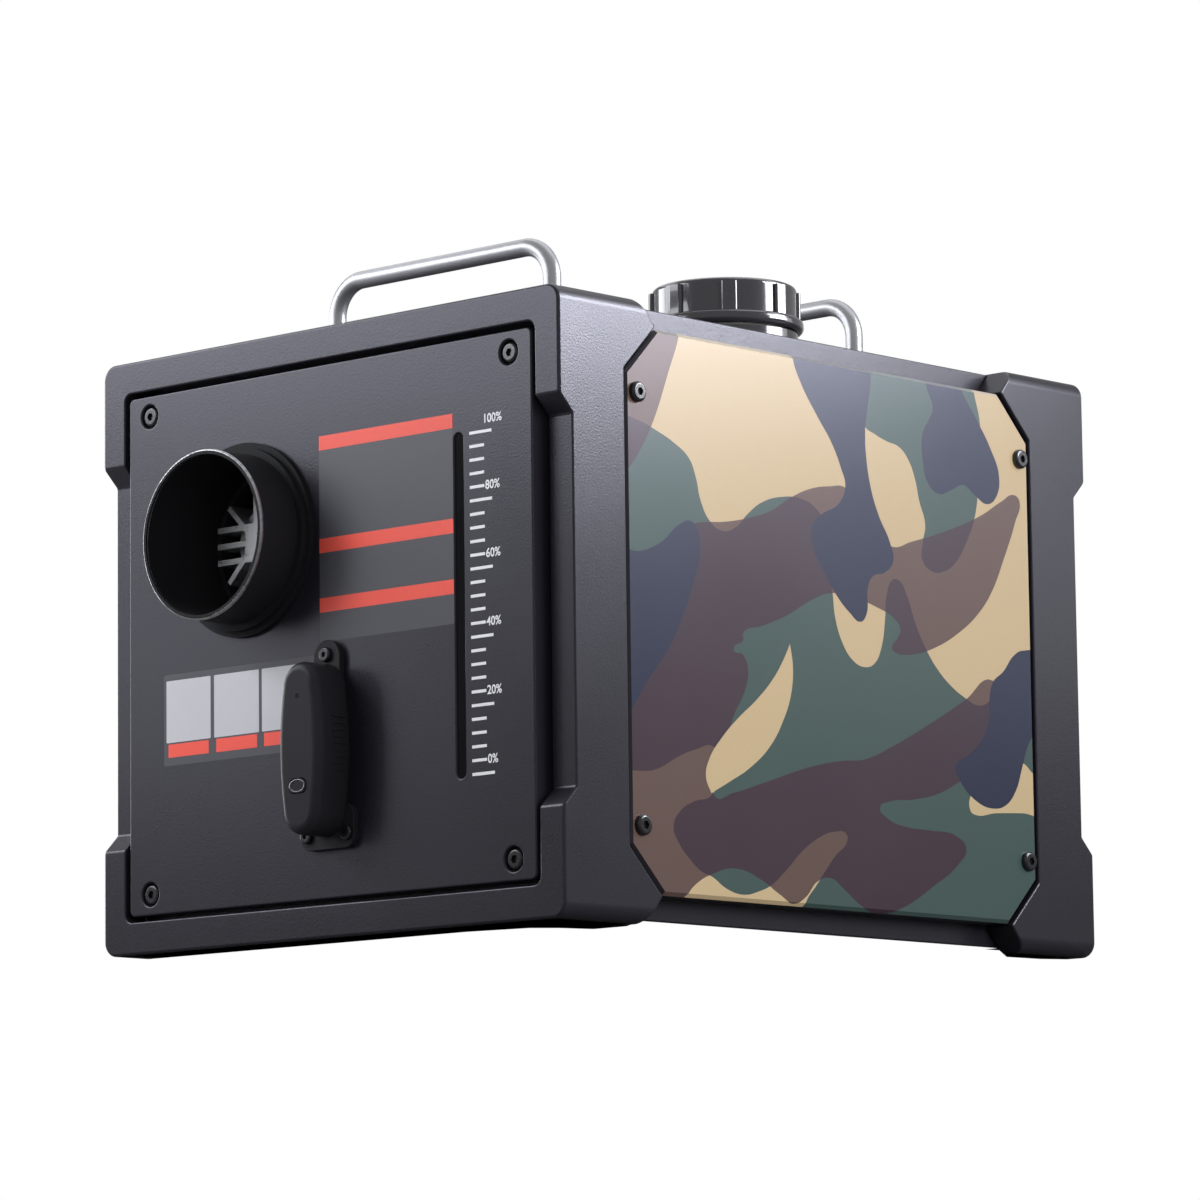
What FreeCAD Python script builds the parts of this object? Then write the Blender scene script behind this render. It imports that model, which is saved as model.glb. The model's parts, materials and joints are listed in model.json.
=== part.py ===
import FreeCAD, Part
import math
import os

# Portable parking heater in a carrying case. Millimetres, +Z up, the hot-air outlet faces -Y.
# The origin is the middle of the case's underside.

V = FreeCAD.Vector

# General
overrun = 1.0
tolerance = 0.001
parallel_share = 0.999
fit_gap = 0.2
thread_gap = 0.1
running_gap = 0.05
moving_gap = 0.4

# Case
case_width = 282.0
case_depth = 358.0
case_height = 268.0
half_width = case_width / 2
half_depth = case_depth / 2
mid_height = case_height / 2

# End caps
cap_corner_radius = 7.0
cap_edge_radius = 1.4
cap_wall = 2.8
cap_top_depth = 51.0
facet_run_share = 0.85
recess_width = 15.7
notch_half = 79.0
notch_depth = 8.0
ledge_depth = 12.0
ledge_thickness = 3.0
ledge_width = 24.0
window_wall = 2.5
window_corner_radius = 4.0

# Front and rear panels
panel_width = 249.0
panel_height = 234.0
panel_gap = 2.4
panel_recess = 0.6
panel_face = 3.0
panel_wall = 2.5
panel_edge_radius = 0.9
panel_corner_radius = 3.0
panel_screw_x = 111.2
panel_screw_rise = 107.65
panel_boss_radius = 8.0

# Round-head socket screws
screw_radius = 2.5
screw_length = 12.0
head_radius = 4.5
head_height = 2.6
head_round = 1.4
socket_radius = 1.9
socket_depth = 1.4
counterbore_radius = 5.3
counterbore_depth = 3.0

# Sleeve of the case: base tray and top cover
sheet = 2.0
seam_height = 200.0
tongue_reach = 15.0
tongue_lap = 6.0
deck_drop = 0.3

# Side panels
side_inset_end = 43.2
side_inset_edge = 12.5
side_chamfer = 20.5
side_gap = 2.4
side_recess = 0.5
side_face = 2.0
side_flange = 1.5
side_bevel = 1.6
side_screw_y = 130.5
side_screw_rise = 92.6
side_boss_radius = 7.0

# Handles
rod_radius = 4.0
handle_half_span = 66.8
handle_inset = 76.1
handle_rise = 38.0
handle_bend = 16.0
handle_tail = 12.0
nut_radius = 7.5
nut_height = 6.5

# Hot-air outlet
outlet_across_share = 0.348227
outlet_z = 178.6
outlet_radius = 37.5
outlet_wall = 2.0
outlet_projection = 26.6
outlet_tail = 24.0
flange_radius = 43.2
flange_thickness = 2.4
collar_radius = 40.6
collar_thickness = 5.2
lock_ring_radius = 47.0
lock_ring_thickness = 4.0

# Level slot and its window
slot_x = 81.3
slot_low = 62.7
slot_high = 210.4
slot_width = 5.0
slot_window_drop = 0.8
window_flange = 4.0
window_flange_thickness = 3.0

# Fuel tank and filler
tank_heater_gap = 17.1
tank_front = -162.0
tank_back = 62.0
tank_top = 250.0
tank_side_gap = 4.0
tank_wall = 3.0
tank_round = 12.0
neck_across_share = 0.546099
neck_y = 0.0
neck_radius = 27.0
neck_wall = 4.0
neck_thread = 1.0
neck_thread_height = 2.0
neck_thread_pitch = 5.0
neck_thread_count = 3
ring_radius = 33.0
ring_height = 7.7
cap_gap = 0.8
cap_lip_height = 6.0
cap_lip_radius = 35.6
cap_lip_round = 2.4
cap_body_radius = 32.6
cap_rib_radius = 34.2
cap_rib_width = 7.0
cap_rib_round = 1.2
cap_rib_count = 8
cap_rise = 29.5
cap_top_round = 2.2
cap_ceiling = 4.0
seal_height = 2.0
seal_hole_radius = 22.4

# Fuel pickup, lines and pump
pickup_inset = 18.0
pickup_y = 40.0
pickup_flange_radius = 9.0
pickup_flange_height = 4.0
pickup_tube_radius = 3.0
pickup_floor_gap = 8.0
nipple_length = 12.0
line_radius = 2.5
line_bend = 8.0
line_tank_gap = 9.0
line_low = 30.0
line_cross_y = -62.0
pump_offset = 30.9
pump_front = -140.0
pump_back = -78.0
pump_radius = 14.0
pump_nipple = 5.0
clamp_width = 16.0
clamp_wall = 3.0
clamp_foot = 40.0
feed_front_y = -155.0
feed_side_gap = 7.5
feed_rise = 80.0

# Heater casing
casing_half_width = 59.0
casing_half_height = 61.0
casing_front = -120.0
casing_back = 125.0
casing_wall = 3.0
casing_round = 20.0
hood_flange = 3.0
hood_wall = 2.5
hood_length = 30.0
hood_mouth_radius = 55.0
hood_spigot = 9.0

# Heat exchanger and burner
exchanger_radius = 26.0
exchanger_bore = 22.0
exchanger_back = 28.0
exchanger_front = -150.0
exchanger_floor = 8.0
fin_count = 20
fin_radius = 50.0
fin_thickness = 2.5
fin_front = -112.0
fin_back = 16.0
nose_depth = 6.4
nose_hub = 13.0
nose_hub_round = 2.5
nose_hub_depth = 6.0
nose_radius = 16.0
nose_fin_pitch = 7.3
nose_fin_reach = 24.0
nose_fin_width = 2.5
foot_offset = 16.9
foot_y = 0.0
foot_half = 17.0
chamber_radius = 19.0
chamber_wall = 1.5
chamber_length = 95.0
burner_radius = 40.0
burner_plate = 6.0
fan_cup_radius = 38.0
fan_cup_wall = 3.0
fan_cup_depth = 16.0
fan_cup_lid = 3.0
spout_offset = 22.1
spout_radius = 14.0
plug_radius = 2.4
plug_length = 34.0
plug_head_radius = 6.5
plug_head_length = 10.0

# Motor and rotor
motor_radius = 26.0
motor_length = 37.0
shaft_radius = 3.0
shaft_front_gap = 3.0
shaft_overhang = 26.0
impeller_radius = 32.0
impeller_hub = 8.0
impeller_length = 9.0
impeller_gap = 3.5
impeller_vanes = 12
vane_thickness = 1.5
impeller_back = 2.0
wheel_radius = 50.0
wheel_hub = 14.0
wheel_gap = 7.0
wheel_length = 16.0
wheel_blades = 9
blade_thickness = 2.0
blade_pitch_angle = 35.0

# Stand, pipes and their bushes
stand_thickness = 3.0
stand_half_length = 54.0
stand_foot = 14.0
pipe_radius = 11.5
pipe_wall = 1.0
stub_radius = 12.0
pipe_height = 62.0
pipe_bend = 30.0
bush_wall = 3.0
bush_flange = 3.0
bush_flange_thickness = 2.0

# Air inlet grille
grille_radius = 47.0
grille_hole_radius = 43.0
grille_plate = 2.5
grille_lip = 8.0
grille_ring_count = 4
grille_ring_width = 3.0
grille_spokes = 8
grille_hub = 8.0

# Power socket
socket_x = 90.0
socket_z = 72.0
socket_flange = 13.0
socket_flange_thickness = 3.0
socket_barrel = 10.0
socket_barrel_length = 18.0
socket_bore = 8.0
socket_bore_depth = 12.0
pin_radius = 1.2
pin_offset = 4.6
socket_nut_radius = 14.0
socket_nut_height = 5.0
lead_radius = 3.0
lead_bend = 10.0
lead_run = 12.0

# Control panel on the rear
control_x = 58.0
control_z = 178.0
bezel_width = 84.0
bezel_height = 58.0
bezel_round = 6.0
bezel_thickness = 2.2
bezel_edge_radius = 0.8
display_width = 62.0
display_height = 26.0
display_rise = 10.0
display_round = 2.0
lens_thickness = 1.6
button_names = ("power_button", "mode_button", "down_button", "up_button")
button_pitch = 18.0
button_drop = 17.0
button_radius = 5.0
button_proud = 1.6
button_round = 0.6
button_travel = 1.0
button_lip = 1.5
button_lip_height = 1.2
button_stem_radius = 2.2
board_depth = 17.0
board_thickness = 1.6
board_margin = 6.0
board_post_radius = 3.0
switch_half = 3.0
switch_height = 3.0
module_gap = 0.5

# Remote control and its holder
holder_x = 3.8
holder_low = 38.0
holder_high = 129.0
holder_thickness = 3.0
holder_top_half = 8.0
holder_foot_half = 16.0
holder_foot_round = 5.0
holder_foot_height = 19.0
holder_top_screw = 122.5
holder_foot_screw_z = 44.4
holder_foot_screw_x = 12.2
holder_screw_radius = 1.6
holder_head_radius = 3.3
holder_head_height = 1.9
holder_head_round = 0.9
holder_socket_radius = 1.3
holder_socket_depth = 1.0
holder_screw_length = 7.0
remote_mid = 80.8
remote_height = 75.0
remote_width = 26.0
remote_gap = 0.3
remote_base_depth = 6.0
remote_cover_depth = 11.5
remote_side_bow = 2.2
remote_end_radius = 10.5
remote_wall = 2.0
remote_round = 4.2
remote_button_z = 64.3
remote_button_width = 10.0
remote_button_height = 6.0
remote_button_proud = 0.3
remote_button_lip = 1.2
remote_lamp_z = 103.2
remote_lamp_radius = 1.1
battery_radius = 8.0
battery_thickness = 3.2

# Places that follow from the sizes
window_half_x = panel_width / 2 + panel_gap
window_low = mid_height - panel_height / 2 - panel_gap
window_high = mid_height + panel_height / 2 + panel_gap
sleeve_half = half_width - recess_width
sleeve_end = half_depth - ledge_depth - ledge_thickness
deck_top = case_height - deck_drop
deck_under = case_height - cap_wall - fit_gap
floor_top = cap_wall + sheet
panel_front = half_depth - panel_recess
panel_back = panel_front - panel_face
side_outer = half_width - side_recess
handle_y = half_depth - handle_inset
handle_bar_height = case_height + handle_rise
outlet_x = -half_width * outlet_across_share
duct_inner = outlet_radius - outlet_wall
stub_projection = outlet_projection
nose_front = nose_depth - half_depth
foot_x = outlet_x - foot_offset
spout_x = outlet_x + spout_offset
pump_x = outlet_x - pump_offset
feed_side_x = outlet_x - casing_half_width - feed_side_gap
tank_left = outlet_x + casing_half_width + tank_heater_gap
line_drop_x = tank_left - line_tank_gap
pickup_x = tank_left + pickup_inset
neck_x = half_width * neck_across_share
cap_low = deck_top + ring_height + cap_gap
cap_top_height = deck_top + cap_rise
neck_height = cap_top_height - cap_ceiling - seal_height
cup_back = exchanger_back + burner_plate + fan_cup_depth + fan_cup_lid
motor_back = cup_back + motor_length
casing_low = outlet_z - casing_half_height
stand_top = casing_low
holder_front = -panel_front - holder_thickness
remote_back = holder_front - remote_gap
remote_split = remote_back - remote_base_depth
remote_face = remote_split - remote_cover_depth
remote_low = remote_mid - remote_height / 2
remote_high = remote_mid + remote_height / 2

X_AXIS = V(1, 0, 0)
Y_AXIS = V(0, 1, 0)
Z_AXIS = V(0, 0, 1)


# Shape helpers

def box(x0, x1, y0, y1, z0, z1):
    return Part.makeBox(x1 - x0, y1 - y0, z1 - z0, V(x0, y0, z0))


def rod(radius, start, end):
    run = end - start
    return Part.makeCylinder(radius, run.Length, start, run)


def ring(outer, inner, start, end):
    run = (end - start).normalize() * overrun
    return rod(outer, start, end).cut(rod(inner, start - run, end + run))


def fused(shapes):
    return shapes[0].multiFuse(shapes[1:]).removeSplitter()


def edges_along(shape, axis):
    found = []
    for edge in shape.Edges:
        run = edge.Vertexes[-1].Point - edge.Vertexes[0].Point
        if run.Length > tolerance and abs(run.normalize().dot(axis)) > parallel_share:
            found.append(edge)
    return found


def edges_at_y(shape, y):
    return [e for e in shape.Edges
            if abs(e.BoundBox.YMin - y) < tolerance and abs(e.BoundBox.YMax - y) < tolerance]


def edges_at_x(shape, x):
    return [e for e in shape.Edges
            if abs(e.BoundBox.XMin - x) < tolerance and abs(e.BoundBox.XMax - x) < tolerance]


def edges_at_z(shape, z):
    return [e for e in shape.Edges
            if abs(e.BoundBox.ZMin - z) < tolerance and abs(e.BoundBox.ZMax - z) < tolerance]


def rounded_box(x0, x1, y0, y1, z0, z1, axis, radius):
    solid = box(x0, x1, y0, y1, z0, z1)
    return solid.makeFillet(radius, edges_along(solid, axis))


def prism(points, along):
    return Part.Face(Part.makePolygon(points + points[:1])).extrude(along)


def bent_path(points, bend):
    edges = []
    start = points[0]
    for before, corner, after in zip(points, points[1:], points[2:]):
        into = (corner - before).normalize()
        out = (after - corner).normalize()
        half_turn = into.getAngle(out) / 2
        set_back = bend * math.tan(half_turn)
        arc_start = corner - into * set_back
        arc_end = corner + out * set_back
        inward = (out - into).normalize()
        middle = corner + inward * (bend / math.cos(half_turn) - bend)
        if (arc_start - start).Length > tolerance:
            edges.append(Part.makeLine(start, arc_start))
        edges.append(Part.Arc(arc_start, middle, arc_end).toShape())
        start = arc_end
    edges.append(Part.makeLine(start, points[-1]))
    return Part.Wire(edges)


def bent_rod(points, bend, radius):
    circle = Part.makeCircle(radius, points[0], points[1] - points[0])
    return bent_path(points, bend).makePipeShell([Part.Wire([circle])], True, True)


def to_rear(shape):
    return shape.mirror(V(0, 0, 0), Y_AXIS)


def to_left(shape):
    return shape.mirror(V(0, 0, 0), X_AXIS)


def socket_screw(seat, outward, shank, length, head, height, edge_round, socket, depth):
    top = seat + outward * height
    body = rod(head, seat, top)
    far = max(body.Edges, key=lambda e: e.BoundBox.Center.dot(outward))
    body = body.makeFillet(edge_round, [far])
    side = outward.cross(Z_AXIS)
    corners = [top + FreeCAD.Rotation(outward, 60 * n).multVec(side * socket) for n in range(6)]
    hexagon = prism(corners, outward * -depth)
    return fused([body, rod(shank, seat - outward * length, seat)]).cut(hexagon)


def panel_screw(seat, outward, length):
    return socket_screw(seat, outward, screw_radius, length, head_radius, head_height, head_round,
                        socket_radius, socket_depth)


def save(name, shape):
    if not shape.isValid():
        raise ValueError(name + " is not a valid solid")
    shape.exportStep("parts/" + name + ".step")
    print(name, len(shape.Solids), "solids", round(shape.Volume), "mm3")


# End caps: a moulded frame with a bumper down each side, cut to an octagon round the side panel

def cap_outline(inset):
    """Side view of a cap, as points of distance from its outer face and height, drawn in by inset."""
    top = case_height - inset
    knee = cap_top_depth - inset * (math.hypot(facet_run_share, 1) - facet_run_share)
    side = side_inset_end - side_gap - inset
    panel_top = case_height - side_inset_edge
    slant = panel_top - side_chamfer - side_inset_end + (side_gap + inset) * math.sqrt(2)
    tip = (knee + facet_run_share * (top - slant)) / (1 + facet_run_share)
    upper = [(0, top), (knee, top), (tip, tip + slant), (side, side + slant)]
    return upper + [(u, case_height - z) for u, z in reversed(upper)]


def cap_prism(inset, start):
    half = half_width - inset
    points = [V(-half, u - half_depth, z) for u, z in cap_outline(inset)]
    profile = prism(points, X_AXIS * 2 * half)
    end = cap_top_depth + recess_width + side_chamfer - half_depth
    outline = rounded_box(-half, half, start - half_depth, end, inset, case_height - inset, Y_AXIS,
                          cap_corner_radius - inset)
    if inset == 0:
        outline = outline.makeFillet(cap_edge_radius, edges_at_y(outline, -half_depth))
    return outline.common(profile)


def cap_notch(side):
    outer = notch_half + notch_depth
    inner_x = window_half_x - overrun
    outer_x = half_width + overrun
    y = -half_depth
    points = [V(side * inner_x, y - overrun, mid_height - outer - overrun),
              V(side * inner_x, y + notch_depth, mid_height - notch_half),
              V(side * inner_x, y + notch_depth, mid_height + notch_half),
              V(side * inner_x, y - overrun, mid_height + outer + overrun)]
    return prism(points, X_AXIS * side * (outer_x - inner_x))


def panel_screw_places():
    return [(side * panel_screw_x, mid_height + rise * panel_screw_rise)
            for side in (-1, 1) for rise in (-1, 1)]


def make_cap():
    y = -half_depth
    cavity = notch_depth + cap_wall
    cap = cap_prism(0, 0).cut(cap_prism(cap_wall, cavity))
    ledge_half = window_half_x + window_wall
    ledge_back = y + ledge_depth + ledge_thickness
    ledge = rounded_box(-ledge_half, ledge_half, y + cavity, ledge_back,
                        window_low - window_wall, window_high + window_wall, Y_AXIS,
                        window_corner_radius + window_wall)
    cap = fused([cap, ledge])
    window = rounded_box(-window_half_x, window_half_x, y - overrun, y + ledge_depth,
                         window_low, window_high, Y_AXIS, window_corner_radius)
    open_half = panel_width / 2 - ledge_width
    opening = box(-open_half, open_half, y, ledge_back + overrun,
                  window_low + ledge_width, window_high - ledge_width)
    inside = sleeve_half + fit_gap
    beyond = y + cap_top_depth + recess_width + side_chamfer
    sleeve_room = box(-inside, inside, ledge_back, beyond, cap_wall, case_height - cap_wall)
    deck_room = box(-inside, inside, y + cap_top_depth, beyond, mid_height, case_height + overrun)
    cap = cap.cut(fused([window, opening])).cut(sleeve_room).cut(deck_room)
    for side in (-1, 1):
        cap = cap.cut(cap_notch(side))
    for x, z in panel_screw_places():
        cap = cap.cut(rod(screw_radius + thread_gap, V(x, y, z), V(x, ledge_back + overrun, z)))
    return cap.removeSplitter()


# Front and rear panels: shallow trays that stand on the caps' ledges

def make_panel_blank():
    half = panel_width / 2
    low = mid_height - panel_height / 2
    high = mid_height + panel_height / 2
    back = ledge_depth - half_depth
    tray = rounded_box(-half, half, -panel_front, back, low, high, Y_AXIS, panel_corner_radius)
    tray = tray.makeFillet(panel_edge_radius, edges_at_y(tray, -panel_front))
    tray = tray.cut(box(-half + panel_wall, half - panel_wall, -panel_back, back + overrun,
                        low + panel_wall, high - panel_wall))
    places = panel_screw_places()
    tray = fused([tray] + [rod(panel_boss_radius, V(x, -panel_back - tolerance, z), V(x, back, z))
                           for x, z in places])
    for x, z in places:
        seat = counterbore_depth - panel_front
        tray = tray.cut(rod(counterbore_radius, V(x, -panel_front - overrun, z), V(x, seat, z)))
        tray = tray.cut(rod(screw_radius + thread_gap, V(x, seat, z), V(x, back + overrun, z)))
    return tray


def slot_bar(width, y0, y1, grow):
    half = width / 2
    return rounded_box(slot_x - half, slot_x + half, y0, y1, slot_low - grow, slot_high + grow,
                       Y_AXIS, half - tolerance)


def make_front_panel():
    panel = make_panel_blank()
    panel = panel.cut(rod(outlet_radius + fit_gap, V(outlet_x, -half_depth - overrun, outlet_z),
                          V(outlet_x, 0, outlet_z)))
    panel = panel.cut(slot_bar(slot_width, -half_depth - overrun, 0, 0))
    for x, z in holder_screw_places():
        panel = panel.cut(rod(holder_screw_radius + thread_gap, V(x, -half_depth, z), V(x, 0, z)))
    return panel


def rear_hole(panel, radius, x, z):
    return panel.cut(rod(radius, V(x, 0, z), V(x, half_depth + bezel_thickness + overrun, z)))


def make_rear_panel():
    panel = to_rear(make_panel_blank())
    panel = rear_hole(panel, grille_hole_radius, outlet_x, outlet_z)
    for x in (foot_x, spout_x):
        panel = rear_hole(panel, pipe_radius + bush_wall, x, pipe_height)
    panel = rear_hole(panel, socket_barrel + fit_gap, socket_x, socket_z)
    for x, z in button_places():
        panel = rear_hole(panel, button_radius + moving_gap, x, z)
    return panel.cut(display_block(0, half_depth + overrun, 0))


def make_panel_screws():
    seat = counterbore_depth - panel_front
    return Part.makeCompound([panel_screw(V(x, seat, z), -Y_AXIS, screw_length)
                              for x, z in panel_screw_places()])


# Sleeve of the case

def make_tray():
    outer = box(-sleeve_half, sleeve_half, -sleeve_end, sleeve_end, cap_wall, seam_height)
    inner = box(sheet - sleeve_half, sleeve_half - sheet, -sleeve_end - overrun, sleeve_end + overrun,
                floor_top, seam_height + overrun)
    return cut_side_holes(outer.cut(inner))


def make_top_cover():
    deck_end = half_depth - cap_top_depth - fit_gap
    parts = [box(-sleeve_half, sleeve_half, -deck_end, deck_end, deck_under, deck_top)]
    for side in (-1, 1):
        inner = side * (sleeve_half - sheet)
        outer = side * sleeve_half
        parts.append(box(min(inner, outer), max(inner, outer), -sleeve_end, sleeve_end,
                         seam_height, deck_under))
        tongue_in = side * (deck_end - tongue_lap)
        tongue_out = side * (deck_end + tongue_reach)
        parts.append(box(-sleeve_half, sleeve_half, min(tongue_in, tongue_out),
                         max(tongue_in, tongue_out), deck_under - sheet, deck_under))
    cover = fused(parts)
    for x, y in handle_places():
        cover = cover.cut(rod(rod_radius + fit_gap, V(x, y, seam_height), V(x, y, case_height)))
    cover = cover.cut(rod(neck_radius + neck_thread + fit_gap, V(neck_x, neck_y, seam_height),
                          V(neck_x, neck_y, case_height)))
    return cut_side_holes(cover)


def side_screw_places():
    return [(along * side_screw_y, mid_height + rise * side_screw_rise)
            for along in (-1, 1) for rise in (-1, 1)]


def cut_side_holes(shape):
    for y, z in side_screw_places():
        shape = shape.cut(rod(screw_radius + thread_gap, V(-half_width, y, z), V(half_width, y, z)))
    return shape


# Side panels: bevelled octagonal pans on bosses

def octagon(inset):
    end = half_depth - side_inset_end - inset
    low = side_inset_edge + inset
    high = case_height - side_inset_edge - inset
    cut = side_chamfer - inset * (2 - math.sqrt(2))
    upper = [(-end, high - cut), (cut - end, high), (end - cut, high), (end, high - cut)]
    return upper + [(y, low + high - z) for y, z in reversed(upper)]


def octagon_prism(inset, x0, x1):
    return prism([V(x0, y, z) for y, z in octagon(inset)], X_AXIS * (x1 - x0))


def make_side_panel():
    pan = octagon_prism(0, sleeve_half + fit_gap, side_outer)
    pan = pan.makeChamfer(side_bevel, edges_at_x(pan, side_outer))
    pan = pan.cut(octagon_prism(side_flange, sleeve_half, side_outer - side_face))
    bosses = [rod(side_boss_radius, V(sleeve_half, y, z), V(side_outer - side_face + tolerance, y, z))
              for y, z in side_screw_places()]
    return cut_side_holes(fused([pan] + bosses))


def make_side_screws():
    length = side_outer - sleeve_half + sheet + screw_radius
    return Part.makeCompound([panel_screw(V(side_outer, y, z), X_AXIS, length)
                              for y, z in side_screw_places()])


# Handles

def handle_places():
    return [(side * handle_half_span, along * handle_y) for side in (-1, 1) for along in (-1, 1)]


def make_handle():
    low = deck_under - handle_tail
    points = [V(-handle_half_span, -handle_y, low), V(-handle_half_span, -handle_y, handle_bar_height),
              V(handle_half_span, -handle_y, handle_bar_height), V(handle_half_span, -handle_y, low)]
    return bent_rod(points, handle_bend, rod_radius)


def make_handle_nuts():
    nuts = []
    for x, y in handle_places():
        top = V(x, y, deck_under)
        corners = [top + FreeCAD.Rotation(Z_AXIS, 60 * n).multVec(X_AXIS * nut_radius) for n in range(6)]
        nut = prism(corners, Z_AXIS * -nut_height)
        nuts.append(nut.cut(rod(rod_radius + thread_gap, top - Z_AXIS * (nut_height + overrun),
                                top + Z_AXIS * overrun)))
    return Part.makeCompound(nuts)


# Hot-air outlet

def outlet_point(y):
    return V(outlet_x, y, outlet_z)


def make_outlet_duct():
    mouth = -half_depth - outlet_projection
    seat = -panel_front
    parts = [rod(outlet_radius, outlet_point(mouth), outlet_point(outlet_tail - half_depth)),
             rod(flange_radius, outlet_point(seat - flange_thickness), outlet_point(seat)),
             rod(collar_radius, outlet_point(seat - collar_thickness), outlet_point(seat))]
    duct = fused(parts)
    duct = duct.makeFillet(panel_edge_radius, edges_at_y(duct, mouth))
    bore = rod(duct_inner, outlet_point(mouth - overrun), outlet_point(outlet_tail))
    return duct.cut(bore)


def make_lock_ring():
    return ring(lock_ring_radius, outlet_radius + thread_gap, outlet_point(-panel_back),
                outlet_point(lock_ring_thickness - panel_back))


def make_level_window():
    flange_width = slot_width + 2 * window_flange
    flange_back = window_flange_thickness - panel_back
    parts = [slot_bar(slot_width - 2 * thread_gap, slot_window_drop - panel_front, -panel_back, -thread_gap),
             slot_bar(flange_width, -panel_back, flange_back, window_flange),
             slot_bar(slot_width, flange_back, tank_front - fit_gap, 0)]
    return fused(parts)


# Fuel tank, filler and cap

def neck_point(z):
    return V(neck_x, neck_y, z)


def make_tank():
    right = sleeve_half - sheet - tank_side_gap
    outer = box(tank_left, right, tank_front, tank_back, floor_top, tank_top)
    outer = outer.makeFillet(tank_round, outer.Edges)
    inner = box(tank_left + tank_wall, right - tank_wall, tank_front + tank_wall, tank_back - tank_wall,
                floor_top + tank_wall, tank_top - tank_wall)
    inner = inner.makeFillet(tank_round - tank_wall, inner.Edges)
    threads = []
    for n in range(neck_thread_count):
        low = neck_height - neck_thread_pitch * (n + 1)
        threads.append(rod(neck_radius + neck_thread, neck_point(low), neck_point(low + neck_thread_height)))
    neck = rod(neck_radius, neck_point(tank_top - tank_wall), neck_point(neck_height))
    tank = fused([outer, neck] + threads).cut(inner)
    tank = tank.cut(rod(neck_radius - neck_wall, neck_point(tank_top - tank_round),
                        neck_point(neck_height + overrun)))
    return tank.cut(rod(pickup_tube_radius + thread_gap, V(pickup_x, pickup_y, tank_top - tank_round),
                        V(pickup_x, pickup_y, tank_top + overrun)))


def make_filler_ring():
    return ring(ring_radius, neck_radius + neck_thread + fit_gap, neck_point(deck_top),
                neck_point(deck_top + ring_height))


def make_fuel_cap():
    lip_top = cap_low + cap_lip_height
    lip = rod(cap_lip_radius, neck_point(cap_low), neck_point(lip_top))
    lip = lip.makeFillet(cap_lip_round, edges_at_z(lip, cap_low) + edges_at_z(lip, lip_top))
    body = rod(cap_body_radius, neck_point(cap_low), neck_point(cap_top_height))
    body = body.makeFillet(cap_top_round, edges_at_z(body, cap_top_height))
    rib_top = cap_top_height - cap_top_round
    parts = [lip, body]
    for n in range(cap_rib_count):
        rib = rounded_box(neck_x, neck_x + cap_rib_radius, neck_y - cap_rib_width / 2,
                          neck_y + cap_rib_width / 2, cap_low + cap_lip_round, rib_top, Z_AXIS, cap_rib_round)
        rib.rotate(neck_point(0), Z_AXIS, 360 * n / cap_rib_count)
        parts.append(rib)
    cap = fused(parts)
    hollow = rod(neck_radius + neck_thread + moving_gap, neck_point(cap_low - overrun),
                 neck_point(cap_top_height - cap_ceiling))
    return cap.cut(hollow)


def make_cap_seal():
    top = cap_top_height - cap_ceiling - running_gap
    return ring(neck_radius, seal_hole_radius, neck_point(top - seal_height + fit_gap), neck_point(top))


# Fuel pickup, lines and pump

def make_pickup():
    base = V(pickup_x, pickup_y, tank_top)
    head = base + Z_AXIS * (pickup_flange_height + line_radius * 2)
    nipple_z = tank_top + pickup_flange_height
    foot = V(pickup_x, pickup_y, floor_top + tank_wall + pickup_floor_gap)
    nipple = V(pickup_x, pickup_y, nipple_z)
    return fused([rod(pickup_flange_radius, base, base + Z_AXIS * pickup_flange_height),
                  rod(pickup_tube_radius, foot, head),
                  rod(line_radius, nipple, nipple - X_AXIS * nipple_length)])


def make_suction_line():
    nipple_z = tank_top + pickup_flange_height
    points = [V(pickup_x - nipple_length, pickup_y, nipple_z), V(line_drop_x, pickup_y, nipple_z),
              V(line_drop_x, pickup_y, line_low), V(line_drop_x, line_cross_y, line_low),
              V(pump_x, line_cross_y, line_low), V(pump_x, pump_back + pump_nipple, line_low)]
    return bent_rod(points, line_bend, line_radius)


def make_pump():
    return fused([rod(pump_radius, V(pump_x, pump_front, line_low), V(pump_x, pump_back, line_low)),
                  rod(line_radius, V(pump_x, pump_front - pump_nipple, line_low),
                      V(pump_x, pump_back + pump_nipple, line_low))])


def make_pump_clamp():
    middle = (pump_front + pump_back) / 2
    y0 = middle - clamp_width / 2
    y1 = middle + clamp_width / 2
    half = clamp_foot / 2
    band = rod(pump_radius + clamp_wall, V(pump_x, y0, line_low), V(pump_x, y1, line_low))
    post = box(pump_x - pump_radius, pump_x + pump_radius, y0, y1, floor_top, line_low)
    foot = box(pump_x - half, pump_x + half, y0, y1, floor_top, floor_top + clamp_wall)
    bore = rod(pump_radius + thread_gap, V(pump_x, y0 - overrun, line_low), V(pump_x, y1 + overrun, line_low))
    return fused([band, post, foot]).cut(bore)


def make_feed_line():
    burner_y = exchanger_back + burner_plate / 2
    points = [V(pump_x, pump_front - pump_nipple, line_low), V(pump_x, feed_front_y, line_low),
              V(feed_side_x, feed_front_y, line_low), V(feed_side_x, feed_front_y, feed_rise),
              V(feed_side_x, burner_y, feed_rise), V(feed_side_x, burner_y, outlet_z),
              V(outlet_x - burner_radius, burner_y, outlet_z)]
    return bent_rod(points, line_bend, line_radius)


# Heater

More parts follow.
